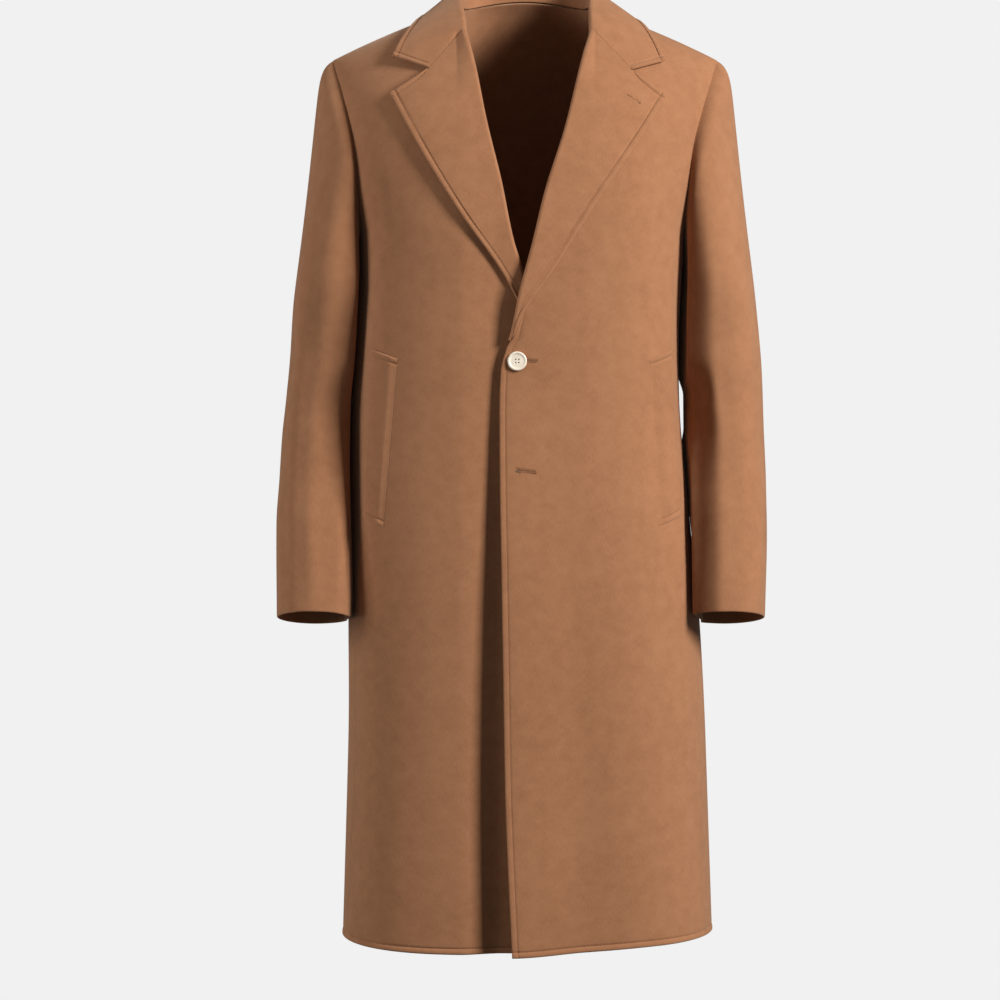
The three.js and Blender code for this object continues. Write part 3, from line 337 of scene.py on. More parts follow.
def shell_faces(rows, columns, sign):
    """Quads of a closed wall between two grids, one after the other: both faces and the four rims."""
    index = np.arange(rows * columns).reshape(rows, columns)
    inside = index + rows * columns
    a, b, c, d = index[:-1, :-1], index[:-1, 1:], index[1:, 1:], index[1:, :-1]
    under = rows * columns
    quads = [np.stack([a, b, c, d], -1).reshape(-1, 4)]
    quads.append(np.stack([a + under, d + under, c + under, b + under], -1).reshape(-1, 4))
    for line, back in ((index[:, 0], True), (index[:, -1], False), (index[0], False), (index[-1], True)):
        rim = np.stack([line[:-1], line[1:], line[1:] + under, line[:-1] + under], -1)
        quads.append(rim[:, ::-1] if back else rim)
    faces = np.concatenate(quads)
    return faces if sign > 0 else faces[:, ::-1]


def mesh_piece(name, points, faces, material, uv=None):
    """A piece of the coat: a smooth mesh from points in millimetres, riding on the coat's one body."""
    mesh = bpy.data.meshes.new(name)
    mesh.from_pydata(points.reshape(-1, 3) * 0.001, [], faces)
    mesh.polygons.foreach_set("use_smooth", np.ones(len(mesh.polygons), bool))
    if uv is not None:
        corner = np.empty(len(mesh.loops), np.int32)
        mesh.loops.foreach_get("vertex_index", corner)
        mesh.uv_layers.new(name="UVMap").data.foreach_set("uv", uv[corner].astype(np.float32).ravel())
    mesh.update()
    piece = add_object(name, mesh)
    piece.data.materials.append(material)
    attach(piece, "root")
    return piece


def stitch_places(outer, normal, side, stitched):
    """Middles, directions and facings of the stitches along one side's line, from one crossing line to the
    other, where the side is stitched."""
    row = [outer[:, STITCH_LINE], outer[:, -1 - STITCH_LINE], outer[STITCH_LINE], outer[-1 - STITCH_LINE]][side]
    face_row = [normal[:, STITCH_LINE], normal[:, -1 - STITCH_LINE], normal[STITCH_LINE], normal[-1 - STITCH_LINE]][side]
    inside = slice(STITCH_LINE, len(row) - STITCH_LINE)
    row, face_row, stitched = row[inside], face_row[inside], stitched[inside]
    length = lengths(row[None])[0]
    at = np.arange(STITCH_PITCH / 2, length[-1], STITCH_PITCH)
    at = at[np.interp(at, length, stitched) > 0.5]
    pick = lambda values, place: np.stack([np.interp(place, length, values[:, k]) for k in range(3)], -1)
    direction = unit(pick(row, at + 1) - pick(row, at - 1))
    return pick(row, at), direction, unit(pick(face_row, at))


def stitches(name, sewn_lines):
    """All the stitches of a piece in one mesh: each a short thread with rounded ends, sunk by half its
    thickness in the groove that it draws in."""
    found = [stitch_places(*line) for line in sewn_lines]
    middle, direction, facing = (np.concatenate([f[k] for f in found]) for k in range(3))
    sideways = np.cross(direction, facing)
    along = np.array([-0.5, -0.43, -0.2, 0.2, 0.43, 0.5]) * STITCH_LENGTH
    thick = np.array([0.12, 0.72, 1, 1, 0.72, 0.12]) * STITCH_RADIUS
    turn = np.arange(8) * np.pi / 4
    ring = thick[:, None, None] * (
        np.cos(turn)[None, :, None] * sideways[:, None, None] + np.sin(turn)[None, :, None] * facing[:, None, None]
    )
    sunk = middle + facing * STITCH_RADIUS * 0.35
    points = sunk[:, None, None] + along[:, None, None] * direction[:, None, None] + ring
    index = np.arange(48).reshape(6, 8)
    a, b = index[:-1], np.roll(index[:-1], -1, axis=1)
    c, d = np.roll(index[1:], -1, axis=1), index[1:]
    tube = np.stack([a, d, c, b], -1).reshape(-1, 4)
    ends = np.stack([np.stack([index[0, i], index[0, i + 1], index[0, 6 - i], index[0, 7 - i]]) for i in (0, 1, 2)])
    caps = np.concatenate([ends, ends[:, ::-1] + 40])
    one = np.concatenate([tube, caps])
    faces = (one[None] + 48 * np.arange(len(middle))[:, None, None]).reshape(-1, 4)
    piece = mesh_piece(name, points, faces, THREAD)


def cloth(name, grid, sign, sides, counts, slot, thickness=CLOTH):
    """A cut piece as a closed shell on its outer grid. sides are the kinds of its first column, last column,
    first row and last row. The wall's half thickness is the lowest of what the four sides give: rounded
    like an ellipse by a turned edge, slightly drawn in at a seam. A stitched side has a groove."""
    grid = relay(grid, counts[0])
    grid = relay(grid.transpose(1, 0, 2), counts[1]).transpose(1, 0, 2)
    normal = normals_of(grid, sign)
    across = lengths(grid)
    along = lengths(grid.transpose(1, 0, 2)).T
    apart = [across, across[:, -1:] - across, along, along[-1:] - along]
    along_it = [along[:, 0], along[:, -1], across[0], across[-1]]
    half = np.full(across.shape, thickness / 2)
    raised = np.zeros(across.shape)
    lines = []
    for k, (kind, distance, length) in enumerate(zip(sides, apart, along_it)):
        round_it, stitched = (along_side(w, length) for w in kind)
        lines.append((k, stitched))
        if k < 2:
            round_it, stitched = round_it[:, None], stitched[:, None]
        inward = np.clip(distance / EDGE_RADIUS, 0, 1)
        turned = np.sqrt(1 - (1 - inward) ** 2) * 0.93 + 0.07
        sewn = 1 - 0.26 * (1 - np.clip(distance / 1.6, 0, 1)) ** 2
        half = np.minimum(half, thickness / 2 * mix(sewn, turned, round_it))
        away = distance + SIDE_LINES[0]
        groove = GROOVE_DEPTH * np.exp(-((away - SIDE_LINES[STITCH_LINE]) / GROOVE_WIDTH) ** 2)
        bead = BEAD_HEIGHT * smooth(away / 1.6) * (1 - smooth((away - 3) / 4))
        raised += stitched * (bead - groove)
    middle = grid - normal * thickness / 2
    outer = middle + normal * (half + raised * (half > 0.7 * thickness / 2))[..., None]
    inner = middle - normal * half[..., None]
    uv = np.stack([across, along], -1).reshape(-1, 2) * 0.001
    points = np.concatenate([outer.reshape(-1, 3), inner.reshape(-1, 3)])
    faces = shell_faces(*half.shape, sign)
    piece = mesh_piece(name, points, faces, WOOL[slot], np.concatenate([uv, uv]))
    step = np.linalg.norm(np.cross(grid[1:, :-1] - grid[:-1, :-1], grid[:-1, 1:] - grid[:-1, :-1]), axis=2)
    sewn_lines = [(outer, normal, k, stitched) for k, stitched in lines if stitched.max() > 0.5]
    if sewn_lines:
        stitches(name.replace("_cloth", "_stitches"), sewn_lines)
    return piece, outer, normal


# Body. Two fronts and a back in one ring that hangs from the shoulder seams: widest over the chest and at
# the hem, a little drawn in at the waist. Tables give its outline by height, in millimetres.
HEM, UNDERARM = -1093, -276
NECK_X = 77
TIP_X, TIP_Y = 226, 4
SHOULDER_FALL, SHOULDER_BEND = 0.3223, 0.00058
BACK_NECK_RISE = 15
FRONT_ROUNDING, BACK_ROUNDING = 125, 110
ROUNDNESS = 2.4
# height, middle, half width, depth of the front, depth of the back
BODY_LEVELS = [
    (-1093, 3, 218.5, 150, 140), (-861, 2.3, 211, 146, 134), (-700, -2, 206.5, 142, 130),
    (-590, -8, 201, 138, 128), (-460, -11, 192.5, 133, 118), (-380, -9.5, 190.5, 134, 116),
    (-276, -4.5, 191, 136, 124), (-208, -2.5, 203.5, 130, 128), (-160, -1.5, 211, 121, 126),
    (-112, -0.5, 220, 108, 118), (-61, 0, 226, 92, 104), (0, 0, 228, 78, 85), (15, 0, 228, 72, 75),
]
# height, degrees of the side seam in front of the side
SIDE_SEAM = [(-1093, 14), (-861, 17), (-590, 12), (-276, 0)]
# place round the body, rise of the hem
HEM_RISE = [(-90, 5), (0, 9), (40, 7.5), (65, 3.5), (95, 0), (125, 0), (180, 3), (270, 5)]
HEM_RISE_TOP = -640
# height, how far the overlapping front stands forward, how far the one beneath falls back
FRONT_LIFT = [
    (-1093, 15, 19), (-700, 9, 13.5), (-541, 5, 9.5), (-416, 3, 6), (-345, 7, 8), (-276, 4.5, 5.5),
    (-180, 1, 1.5), (0, 0, 0),
]
# place round the body, width, height, and the heights where the fold begins and is full
BODY_FOLDS = np.array([
    (38, 15, 3.5, -640, -1040), (64, 10, -3, -560, -900), (118, 11, -3.5, -470, -860),
    (146, 14, 3, -640, -1040), (205, 13, 5, -560, -1040), (232, 12, -6, -420, -980),
    (258, 13, 6, -470, -1040), (286, 12, -6, -400, -1000), (312, 14, 5, -560, -1040),
    (338, 11, -4, -600, -1000), (165, 8, -6, -225, -360), (165, 8, 6, -560, -740),
])
# height, distance of a front's edge from the middle, towards the side that it covers
LEFT_EDGE = [
    (-1093, -15.7), (-1044, -18.1), (-975, -21.2), (-907, -23.7), (-838, -25), (-770, -26), (-701, -27.2),
    (-632, -28.3), (-561, -29.6), (-470, -30.2), (-427, -28.8), (-412, -25.5), (-397, -20.4), (-391, -16.3),
    (-365, -9.6), (-343, -5), (-285, 10.5), (-227, 24.5), (-151, 48.1), (-65.5, 68.7), (-36, 76.2),
    (-18, 77.4), (0, 77),
]
RIGHT_EDGE = [
    (-1093, -12), (-412, -11.5), (-392, -10), (-370, -6), (-340, 0.5), (-304, 10.2), (-283, 17.2),
    (-213, 31.7), (-146, 47.8), (-74.7, 61.8), (-36, 71), (-18, 75.2), (0, 77),
]
ARMHOLE_FRONT, ARMHOLE_BACK = 15.8, 19

body_middle, body_half = curve(BODY_LEVELS, 1), curve(BODY_LEVELS, 2)
body_front, body_back = curve(BODY_LEVELS, 3), curve(BODY_LEVELS, 4)
seam_degrees, hem_rise = curve(SIDE_SEAM, 1), curve(HEM_RISE, 1)
lift_forward, lift_back = curve(FRONT_LIFT, 1), curve(FRONT_LIFT, 2)
front_edge = {LEFT: curve(LEFT_EDGE, 1), RIGHT: curve(RIGHT_EDGE, 1)}


def seam_height(x):
    """Height of the shoulder seam: it falls from the neck with a slope that grows outwards."""
    out = np.maximum(np.abs(x) - NECK_X, 0)
    return -out * (SHOULDER_FALL + SHOULDER_BEND * out)


TIP_Z = float(seam_height(TIP_X))


def ridge_height(x):
    """The shoulder seam, carried on as a round arch over the neck, from which the cloth falls away."""
    return np.where(np.abs(x) > NECK_X, seam_height(x), NECK_X * (1 - (x / NECK_X) ** 2))


def neck_height(x):
    """The back's upper edge: the shoulder seam, and between its ends a shallow arch."""
    return np.where(np.abs(x) > NECK_X, seam_height(x), BACK_NECK_RISE * (1 - (x / NECK_X) ** 2))


def fold_height(side, angle, z):
    """The sum of the soft folds: each a bell across, growing from its top to its bottom."""
    degrees = angle if side == LEFT else 180 - angle
    height = np.zeros(np.broadcast(degrees, z).shape)
    for place, width, rise, top, bottom in BODY_FOLDS:
        away = (degrees - place + 540) % 360 - 180
        height = height + rise * smooth((top - z) / (top - bottom)) * np.exp(-((away / width) ** 2))
    return height


def face(side, angle, z):
    """The body's outer face at an angle from its side, forward positive, and a height. The ring is an oval
    with squared shoulders (a superellipse) and folds. Below the ridge its depth grows like a quarter
    circle. The overlapping front stands a little forward and the one beneath falls back."""
    angle, z = np.broadcast_arrays(np.asarray(angle, float), np.asarray(z, float))
    turn, front = np.radians(angle), angle > 0
    depth = np.where(front, body_front(z), body_back(z))
    wide = (np.abs(np.cos(turn)) / body_half(z)) ** ROUNDNESS
    deep = (np.abs(np.sin(turn)) / depth) ** ROUNDNESS
    radius = (wide + deep) ** (-1 / ROUNDNESS) + fold_height(side, angle, z)
    x = body_middle(z) + side * radius * np.cos(turn)
    below = np.clip((ridge_height(x) - z) / np.where(front, FRONT_ROUNDING, BACK_ROUNDING), 0, 1)
    drawn = np.sqrt(1 - (1 - below) ** 2)
    ridge_y = TIP_Y * np.clip((np.abs(x) - NECK_X) / (TIP_X - NECK_X), 0, 1)
    y = ridge_y + (-radius * np.sin(turn) - ridge_y) * drawn
    if side == LEFT:
        y = y - front * lift_forward(z) * smooth((60 - x) / 85)
    else:
        y = y + front * lift_back(z) * smooth((x + 80) / 55)
    return np.stack([x, y, z], -1)


def outward(side, angle, z):
    """The face's outward direction, from small steps round and up it."""
    step = 0.4
    round_it = face(side, angle + step, z) - face(side, angle - step, z)
    up = face(side, angle, z + step) - face(side, angle, z - step)
    x = face(side, angle, z)[..., 0]
    on_seam = (np.abs(x) >= NECK_X - 0.01) & (ridge_height(x) - z < 0.5)
    slope = SHOULDER_FALL + 2 * SHOULDER_BEND * np.maximum(np.abs(x) - NECK_X, 0)
    flat = np.stack([np.sign(x) * slope, np.zeros_like(x), np.ones_like(x)], -1)
    return np.where(on_seam[..., None], unit(flat), unit(np.cross(round_it, up) * -side))


def angle_at(side, x, z):
    """The angle at which the ring of a height reaches x, halving the range from the side to the far front."""
    x, z = np.broadcast_arrays(np.asarray(x, float), np.asarray(z, float))
    near, far = np.full(x.shape, -20.0), np.full(x.shape, 130.0)
    for _ in range(26):
        middle = (near + far) / 2
        short = side * face(side, middle, z)[..., 0] > side * x
        near, far = np.where(short, middle, near), np.where(short, far, middle)
    return (near + far) / 2


def above(side, x, z, height):
    """Points at x and z, lifted off the front's face along its own direction."""
    x, z, height = np.broadcast_arrays(*(np.asarray(v, float) for v in (x, z, height)))
    foot_x, foot_z = x, z
    for _ in range(5):
        normal = outward(side, angle_at(side, foot_x, foot_z), foot_z)
        foot_x, foot_z = x - normal[..., 0] * height, z - normal[..., 2] * height
    return face(side, angle_at(side, foot_x, foot_z), foot_z) + normal * height[..., None]


def armhole(turn, front):
    """The armhole's edge: its angle and height at a turn from the shoulder tip (0) to the underarm (180)."""
    t = np.radians(turn)
    half = (TIP_Z - UNDERARM) / 2
    forward = ARMHOLE_FRONT * np.sin(t) * (1 - 0.3 * np.cos(t))
    hind = -ARMHOLE_BACK * np.sin(t) * (1 - 0.1 * np.cos(t))
    return np.where(front, forward, hind), TIP_Z - half + half * np.cos(t)


def skirt(side, angle, z):
    """The face below the armhole, whose rows follow the rise of the hem more and more towards it."""
    low = np.clip((HEM_RISE_TOP - z) / (HEM_RISE_TOP - HEM), 0, 1)
    return face(side, angle, z + hem_rise(angle if side == LEFT else 180 - angle) * low ** 2)


def edge_angle(side, z):
    """The angle of a front's edge at a height."""
    return angle_at(side, side * front_edge[side](z), z)


def upper_rows(side, front, part, inner_angle, top_height):
    """Rows from the underarm to the shoulder seam, each ending on the armhole and as high at every column,
    as a share of the way up, as it is there."""
    turn = np.linspace(180, 0, 110)[1:, None]
    outer, edge_z = armhole(turn, front)
    tip = face(side, outer, edge_z)[..., 0]
    rise = np.clip((edge_z - UNDERARM) / (top_height(tip) - UNDERARM), 0, 1)
    angle = mix(inner_angle(rise), outer, part)
    z = edge_z + 0 * part
    for _ in range(14):
        z = UNDERARM + (top_height(face(side, angle, z)[..., 0]) - UNDERARM) * rise
    return face(side, angle, z)


def front_grid(side):
    """A front from its edge to the side seam and the armhole, from the hem up to the shoulder seam."""
    part = np.linspace(0, 1, 260)[None, :]
    z = np.linspace(HEM, UNDERARM, 300)[:, None]
    lower = skirt(side, mix(edge_angle(side, z), seam_degrees(z), part), z)
    inner = lambda rise: edge_angle(side, UNDERARM * (1 - rise))
    return np.concatenate([lower, upper_rows(side, True, part, inner, seam_height)])


def back_grid():
    """The back from its right side seam to its left one, from the hem up to the neck and shoulder seams."""
    part = np.linspace(0, 1, 200)[None, :]
    z = np.linspace(HEM, UNDERARM, 300)[:, None]
    halves = []
    for side in (RIGHT, LEFT):
        lower = skirt(side, mix(-90.0, seam_degrees(z), part), z)
        upper = upper_rows(side, False, part, lambda rise: -90.0, neck_height)
        halves.append(np.concatenate([lower, upper]))
    return np.concatenate([halves[0][:, :0:-1], halves[1]], axis=1)


# side's kinds: free edge (turned below the break, sewn to the lapel above), side seam, hem, shoulder
BREAK_SHARE = (-392 - HEM) / (0 - HEM)
SOFT_STITCH = 0.55
free_edge = (
    [(0, 1), (BREAK_SHARE - 0.02, 1), (BREAK_SHARE, 0), (1, 0)],
    [(0, SOFT_STITCH), (BREAK_SHARE - 0.02, SOFT_STITCH), (BREAK_SHARE, 0), (1, 0)],
)
fronts = {}
for side in (LEFT, RIGHT):
    name = "front_" + SIDE_NAMES[side]
    fronts[side] = cloth(
        name + "_cloth", front_grid(side), side, (free_edge, SEAM, TURNED, SEAM), (64, 180), "body_cloth"
    )
    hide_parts(name)
back = cloth("back_cloth", back_grid(), -1, (SEAM, SEAM, TURNED, SEAM), (110, 180), "body_cloth")
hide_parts("back")

# Sleeves. Two pieces each, a top sleeve round the outside and a narrow under sleeve, set into the armhole
# with a little fullness, bent softly at the elbow, and open at a plain cuff.
SLEEVE_TOP, CUFF, CUFF_TILT = -320, -714, 11
# height, outer edge, inner edge, middle of the depth, half the depth
SLEEVES = {
    LEFT: [
        (-730, 278.5, 189, -50, 55), (-696, 280, 184, -46, 55), (-602, 283.2, 180, -26, 57),
        (-554, 283.2, 178, -12, 59), (-520, 282.5, 181, -3, 61), (-494, 281.5, 187, 1, 62),
        (-455, 280.6, 187, 5, 63), (-430, 279.6, 178, 5, 64), (-412, 278.5, 164, 5, 65),
        (-342, 271.4, 166, 1, 71), (-320, 269, 168, 0, 74),
    ],
    RIGHT: [
        (-730, 289.5, 203, -50, 54), (-696, 290, 201, -46, 54), (-602, 291.5, 199, -26, 56),
        (-554, 289, 198, -12, 58), (-507, 286.7, 198, -1, 60), (-460, 282, 196, 5, 62),
        (-412, 277.3, 184, 5, 64), (-342, 272.6, 182, 1, 70), (-320, 269.5, 184, 0, 74),
    ],
}
# height, middle of the sleeve's front, where it turns from the light
SLEEVE_MIDDLES = {
    LEFT: [
        (-730, 234.5), (-673, 234), (-574, 233.9), (-489, 229.9), (-427, 223.3), (-378, 220.2),
        (-320, 218.5),
    ],
    RIGHT: [(-730, 246.2), (-602, 245.2), (-507, 242.3), (-460, 239), (-412, 230.7), (-342, 227.3), (-320, 226.8)],
}
SLEEVE_CLEARANCE, FORWARD_WEDGE = 1.6, {LEFT: 11, RIGHT: 3}
INNER_CORNER = {LEFT: 0, RIGHT: 0.34}
CAP_OUT, CAP_FORWARD, CAP_RISE = 14, 9, 3
TUCK_DEPTH = 0.9
FORWARD_SEAM, HIND_SEAM = 147, 233
# height on the arm, place round it, half length, half width, height
SLEEVE_FOLDS = {
    LEFT: [
        (-372, 74, 26, 34, -2), (-452, 80, 22, 34, -1.6), (-500, 62, 20, 36, 1.8), (-560, 84, 24, 30, -1.5),
        (-470, 262, 26, 44, 4), (-540, 286, 24, 36, -3), (-640, 60, 30, 30, -1.6), (-540, 99, 230, 12, 3.2),
        (-530, 127, 230, 14, -3.4), (-420, 30, 60, 12, -1.6), (-655, 36, 50, 12, 1.5),
        (-690, 250, 60, 16, 2),
    ],
    RIGHT: [
        (-372, 78, 40, 34, -1.6), (-452, 96, 40, 38, -1.8), (-500, 62, 30, 36, 1.6), (-560, 100, 34, 34, -1.5),
        (-470, 262, 26, 44, 4), (-540, 286, 24, 36, -3), (-640, 60, 40, 30, -1.5), (-420, 136, 200, 17, 5),
        (-420, 66, 150, 14, -2.4), (-350, 36, 90, 12, 2), (-620, 40, 80, 14, -2), (-600, 128, 120, 12, 2.2),
        (-690, 250, 60, 16, 2), (-640, 88, 90, 13, 2.4),
    ],
}
sleeve_shape = {side: [curve(SLEEVES[side], k) for k in range(1, 5)] for side in (LEFT, RIGHT)}
sleeve_middle = {side: curve(SLEEVE_MIDDLES[side], 1) for side in (LEFT, RIGHT)}


def clear_of_body(side, y, z, clearance):
    """The smallest distance from the middle at which a point clears the body beside it."""
    depth = np.where(y < 0, body_front(z), body_back(z)) + clearance
    deep = np.minimum(1, (np.abs(y) / depth) ** ROUNDNESS)
    return side * body_middle(z) + (body_half(z) + clearance) * (1 - deep) ** (1 / ROUNDNESS)


def sleeve_ring(side, degrees, part):
    """A sleeve's ring: an oval with soft folds, flattened where it hangs against the body, from which it
    parts in a narrow wedge towards the front."""
    turn = np.radians(degrees)
    z = mix(SLEEVE_TOP, CUFF + CUFF_TILT * np.sin(turn), part)
    outer, inner, middle_y, depth = (shape(z) for shape in sleeve_shape[side])
    swell = np.zeros(z.shape)
    for height, place, length, width, rise in SLEEVE_FOLDS[side]:
        away = ((degrees - place + 540) % 360 - 180) / width
        swell = swell + rise * np.exp(-(away ** 2) - ((z - height + away * length * 0.5) / length) ** 2)
    corner = INNER_CORNER[side] * smooth(-2.5 * np.cos(turn)) * (np.sin(turn) > 0)
    y = middle_y - (depth + swell) * np.sign(np.sin(turn)) * np.abs(np.sin(turn)) ** (1 - corner)
    middle = sleeve_middle[side](z)
    half = np.where(np.cos(turn) > 0, outer - middle, middle - inner)
    x = middle + (half + swell * 0.5) * np.cos(turn)
    clearance = SLEEVE_CLEARANCE + FORWARD_WEDGE[side] * smooth((middle_y - y) / 55)
    return np.stack([side * np.maximum(x, clear_of_body(side, y, z, clearance)), y, z], -1)


def sleeve_grid(side, first, last, columns):
    """Rows from the armhole to the cuff. The sleeve head goes straight from the armhole's edge to the ring
    below the underarm, and swells out, forward and up on the way. Where the two meet they are eased. The
    first row is tucked under the armhole's edge."""
    degrees = np.linspace(first, last, columns)[None, :]
    turn = np.radians(degrees)
    round_it = degrees % 360
    front = round_it <= 180
    edge = armhole(np.where(front, round_it, 360 - round_it), front)
    start = face(side, *edge)
    tucked = start + np.array([-side * 1.2, 0, 0.4]) - outward(side, *edge) * TUCK_DEPTH
    part = (np.linspace(0, 1, 90) ** 2)[:, None]
    swell = (1 - part) ** 1.3 * (1 - np.exp(-part / 0.045))
    head = mix(start, sleeve_ring(side, degrees, 0 * part), part[..., None])
    head[..., 0] += side * CAP_OUT * swell * (1 + np.cos(turn)) * 0.5
    head[..., 1] -= CAP_FORWARD * swell * np.sin(turn)
    head[..., 2] += CAP_RISE * swell * np.maximum(np.cos(turn), 0)
    arm = sleeve_ring(side, degrees, np.linspace(0, 1, 160)[1:, None])
    grid = np.concatenate([head, arm])
    ease = 0.5 * np.exp(-((np.arange(1, len(grid) - 1) - len(head)) / 26) ** 2)[:, None, None]
    for _ in range(80):
        grid[1:-1] += ease * ((grid[:-2] + grid[2:]) / 2 - grid[1:-1])
    return np.concatenate([tucked, grid])


for side in (LEFT, RIGHT):
    for name, first, last, count in (("top", HIND_SEAM, 360 + FORWARD_SEAM, 96), ("under", FORWARD_SEAM, HIND_SEAM, 30)):
        node = f"{name}_sleeve_{SIDE_NAMES[side]}"
        grid = sleeve_grid(side, first, last, count * 3)
        piece = cloth(node + "_cloth", grid, side, (SEAM, SEAM, SEAM, PLAIN), (count, 150), "sleeve_cloth")[0]
        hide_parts(node)

# Lapels. Each front is turned back on itself along the roll line: the cloth comes up from behind the
# front's edge, rolls over in a soft half turn and lies on the chest, its own edge standing slightly off.
BREAK, GORGE = -392, -36
ROLL_RADIUS, BREAK_RADIUS = 4, 3.2
EDGE_GAP = 0.7
GORGE_TURN = 40
# height and distance from the middle of the lapel's outer edge, from the break to the tip
LAPEL_EDGE = {
    LEFT: [
        (-386, -13.5), (-370, -7), (-348, 5.6), (-332, 17.8), (-307, 35.1), (-265, 61.4),
        (-226.7, 86.2), (-164.5, 128.7), (-109.5, 163.2),
    ],
    RIGHT: [
        (-378, -3.5), (-344, 11.6), (-316, 26.8), (-250, 73.3), (-179.6, 117.5), (-107.3, 156.8),
    ],
}
LAPEL_TOP = {LEFT: 5.8, RIGHT: 7.2}
# x and z of the notch and of the collar's tip on the front, height of the tip, outer edge at the
# shoulder, lean of the stand
COLLARS = {
    LEFT: {"notch": (121.8, -80.1), "tip": (162.5, -67), "top": 7, "shoulder": 131, "lean": 0.1},
    RIGHT: {"notch": (111.3, -78.8), "tip": (154.3, -62.6), "top": 9, "shoulder": 119, "lean": 0.36},
}
ROLL_STEPS, NEAR_STEPS, FAR_STEPS = 24, 60, 50


def roll_round(edge, normal, towards, radius):
    """Cloth that rolls round a front's edge: half a circle from behind the edge to above the face."""
    out = towards - edge
    out = unit(out - normal * dot(out, normal))
    centre = edge - out * EDGE_GAP + normal * (radius - TURNED_CLOTH)
    turn = np.linspace(0, np.pi, ROLL_STEPS + 1)[None, :, None]
    facing = -np.sin(turn) * out[:, None] - np.cos(turn) * normal[:, None]
    return centre[:, None] + facing * radius[:, None], facing


def face_height(radius, top, part):
    """Height of a lapel's top face above the front, from the roll to its outer edge."""
    return mix(2 * radius - TURNED_CLOTH, top, smooth(part))


def gorge_height(side):
    """Height on the front's edge at which the lapel ends and the collar begins."""
    angle, z = armhole(GORGE_TURN, True)
    tip = face(side, angle, z)[..., 0]
    return UNDERARM * (1 - (z - UNDERARM) / (seam_height(tip) - UNDERARM))


def lapel_grid(side):
    """A lapel's rows from the break to the gorge seam: each rolls round the front's edge, crosses to the
    line through the notch and goes on to the lapel's edge."""
    edge_x = curve(LAPEL_EDGE[side], 1)
    bottom_z, tip_z = LAPEL_EDGE[side][0][0], LAPEL_EDGE[side][-1][0]
    z = np.linspace(BREAK, float(gorge_height(side)), 200)
    angle = edge_angle(side, z)
    edge, normal = face(side, angle, z), outward(side, angle, z)
    rise = np.clip((z - BREAK) / (GORGE - BREAK), 0, 1)
    radius = mix(BREAK_RADIUS, ROLL_RADIUS, smooth(rise * 3))[:, None]
    end_z = mix(bottom_z, tip_z, rise)
    end_x = side * edge_x(end_z)
    top = mix(2 * BREAK_RADIUS - TURNED_CLOTH, LAPEL_TOP[side], smooth(rise * 1.5))
    towards = above(side, end_x, mix(z, end_z, smooth(rise * 4)), top)
    rolled, facing = roll_round(edge, normal, towards, radius)
    start = rolled[:, -1]
    notch_x, notch_z = side * COLLARS[side]["notch"][0], COLLARS[side]["notch"][1]
    share = mix(0.5, (notch_x - start[:, 0]) / (end_x - start[:, 0]), smooth(rise * 2 - 1))
    kink_x = mix(start[:, 0], end_x, share)
    straight_z = mix(start[:, 2], end_z, share)
    kink_z = straight_z + (notch_z - straight_z) * smooth(rise * 3 - 2)
    near = np.linspace(0, 1, NEAR_STEPS + 1)[None, 1:]
    far = np.linspace(0, 1, FAR_STEPS + 1)[None, 1:]
    columns = lambda a, b, c: np.concatenate([mix(a[:, None], b[:, None], near), mix(b[:, None], c[:, None], far)], 1)
    x, z = columns(start[:, 0], kink_x, end_x), columns(start[:, 2], kink_z, end_z)
    part = (x - start[:, :1]) / (end_x[:, None] - start[:, :1])
    over = above(side, x, z, face_height(radius, top[:, None], part))
    return np.concatenate([rolled, over], axis=1), facing


lapel_rows, lapels = {}, {}
for side in (LEFT, RIGHT):
    node = "lapel_" + SIDE_NAMES[side]
    grid, facing = lapel_grid(side)
    lapel_rows[side] = (grid[-1], facing[-1])
    length = lengths(grid[-1:])[0]
    notch_share = length[ROLL_STEPS + NEAR_STEPS] / length[-1]
    upper = ([(0, 0), (notch_share - 0.01, 0), (notch_share + 0.01, 1), (1, 1)],) * 2
    piece = cloth(
        node + "_cloth", grid, side, (SEAM, TURNED, SEAM, upper), (70, 110), "turned_cloth", TURNED_CLOTH
    )[0]
    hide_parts(node)
    lapels[side] = piece

# Collar. One piece with its stand: it rises from the neckline, folds over and falls on the shoulders. It
# meets the lapels along the gorge seams and its ends leave a notch above them.
SHOULDER_SHARE = 0.41
SHOULDER_TOP = 4.6
# share of the neckline, x, y, z of the collar's outer edge behind the shoulder seam
COLLAR_EDGE = [(0.62, 107, 54, -9), (0.82, 66, 90, -15), (1, 0, 101, -18)]
# share of the neckline, height of the stand
COLLAR_STAND = [(0, 0), (0.28, 11), (0.41, 20), (0.7, 28), (1, 31)]
BACK_LEAN = 0.22
FALL_SWELL = 0.8
SEAM_GAP = 0.05
FOOT_STEP = 0.3
STAND_STEPS, COLLAR_STEPS, NOTCH_STEPS = 16, 48, 36


def over_shoulder(side, part):
    """The collar's outer edge from its tip to the shoulder seam, lying above the front."""
    collar = COLLARS[side]
    tip_x, tip_z, top = side * collar["tip"][0], collar["tip"][1], collar["top"]
    foot = above(side, tip_x, tip_z, top) - outward(side, angle_at(side, tip_x, tip_z), tip_z) * top
    x = mix(foot[0], side * (collar["shoulder"] - 2), part)
    z = ridge_height(x) - (ridge_height(foot[0]) - foot[2]) * (1 - part) ** 2
    angle = angle_at(side, x, z)
    height = mix(top, SHOULDER_TOP, smooth(part * 1.6))
    return face(side, angle, z) + outward(side, angle, z) * height[..., None]


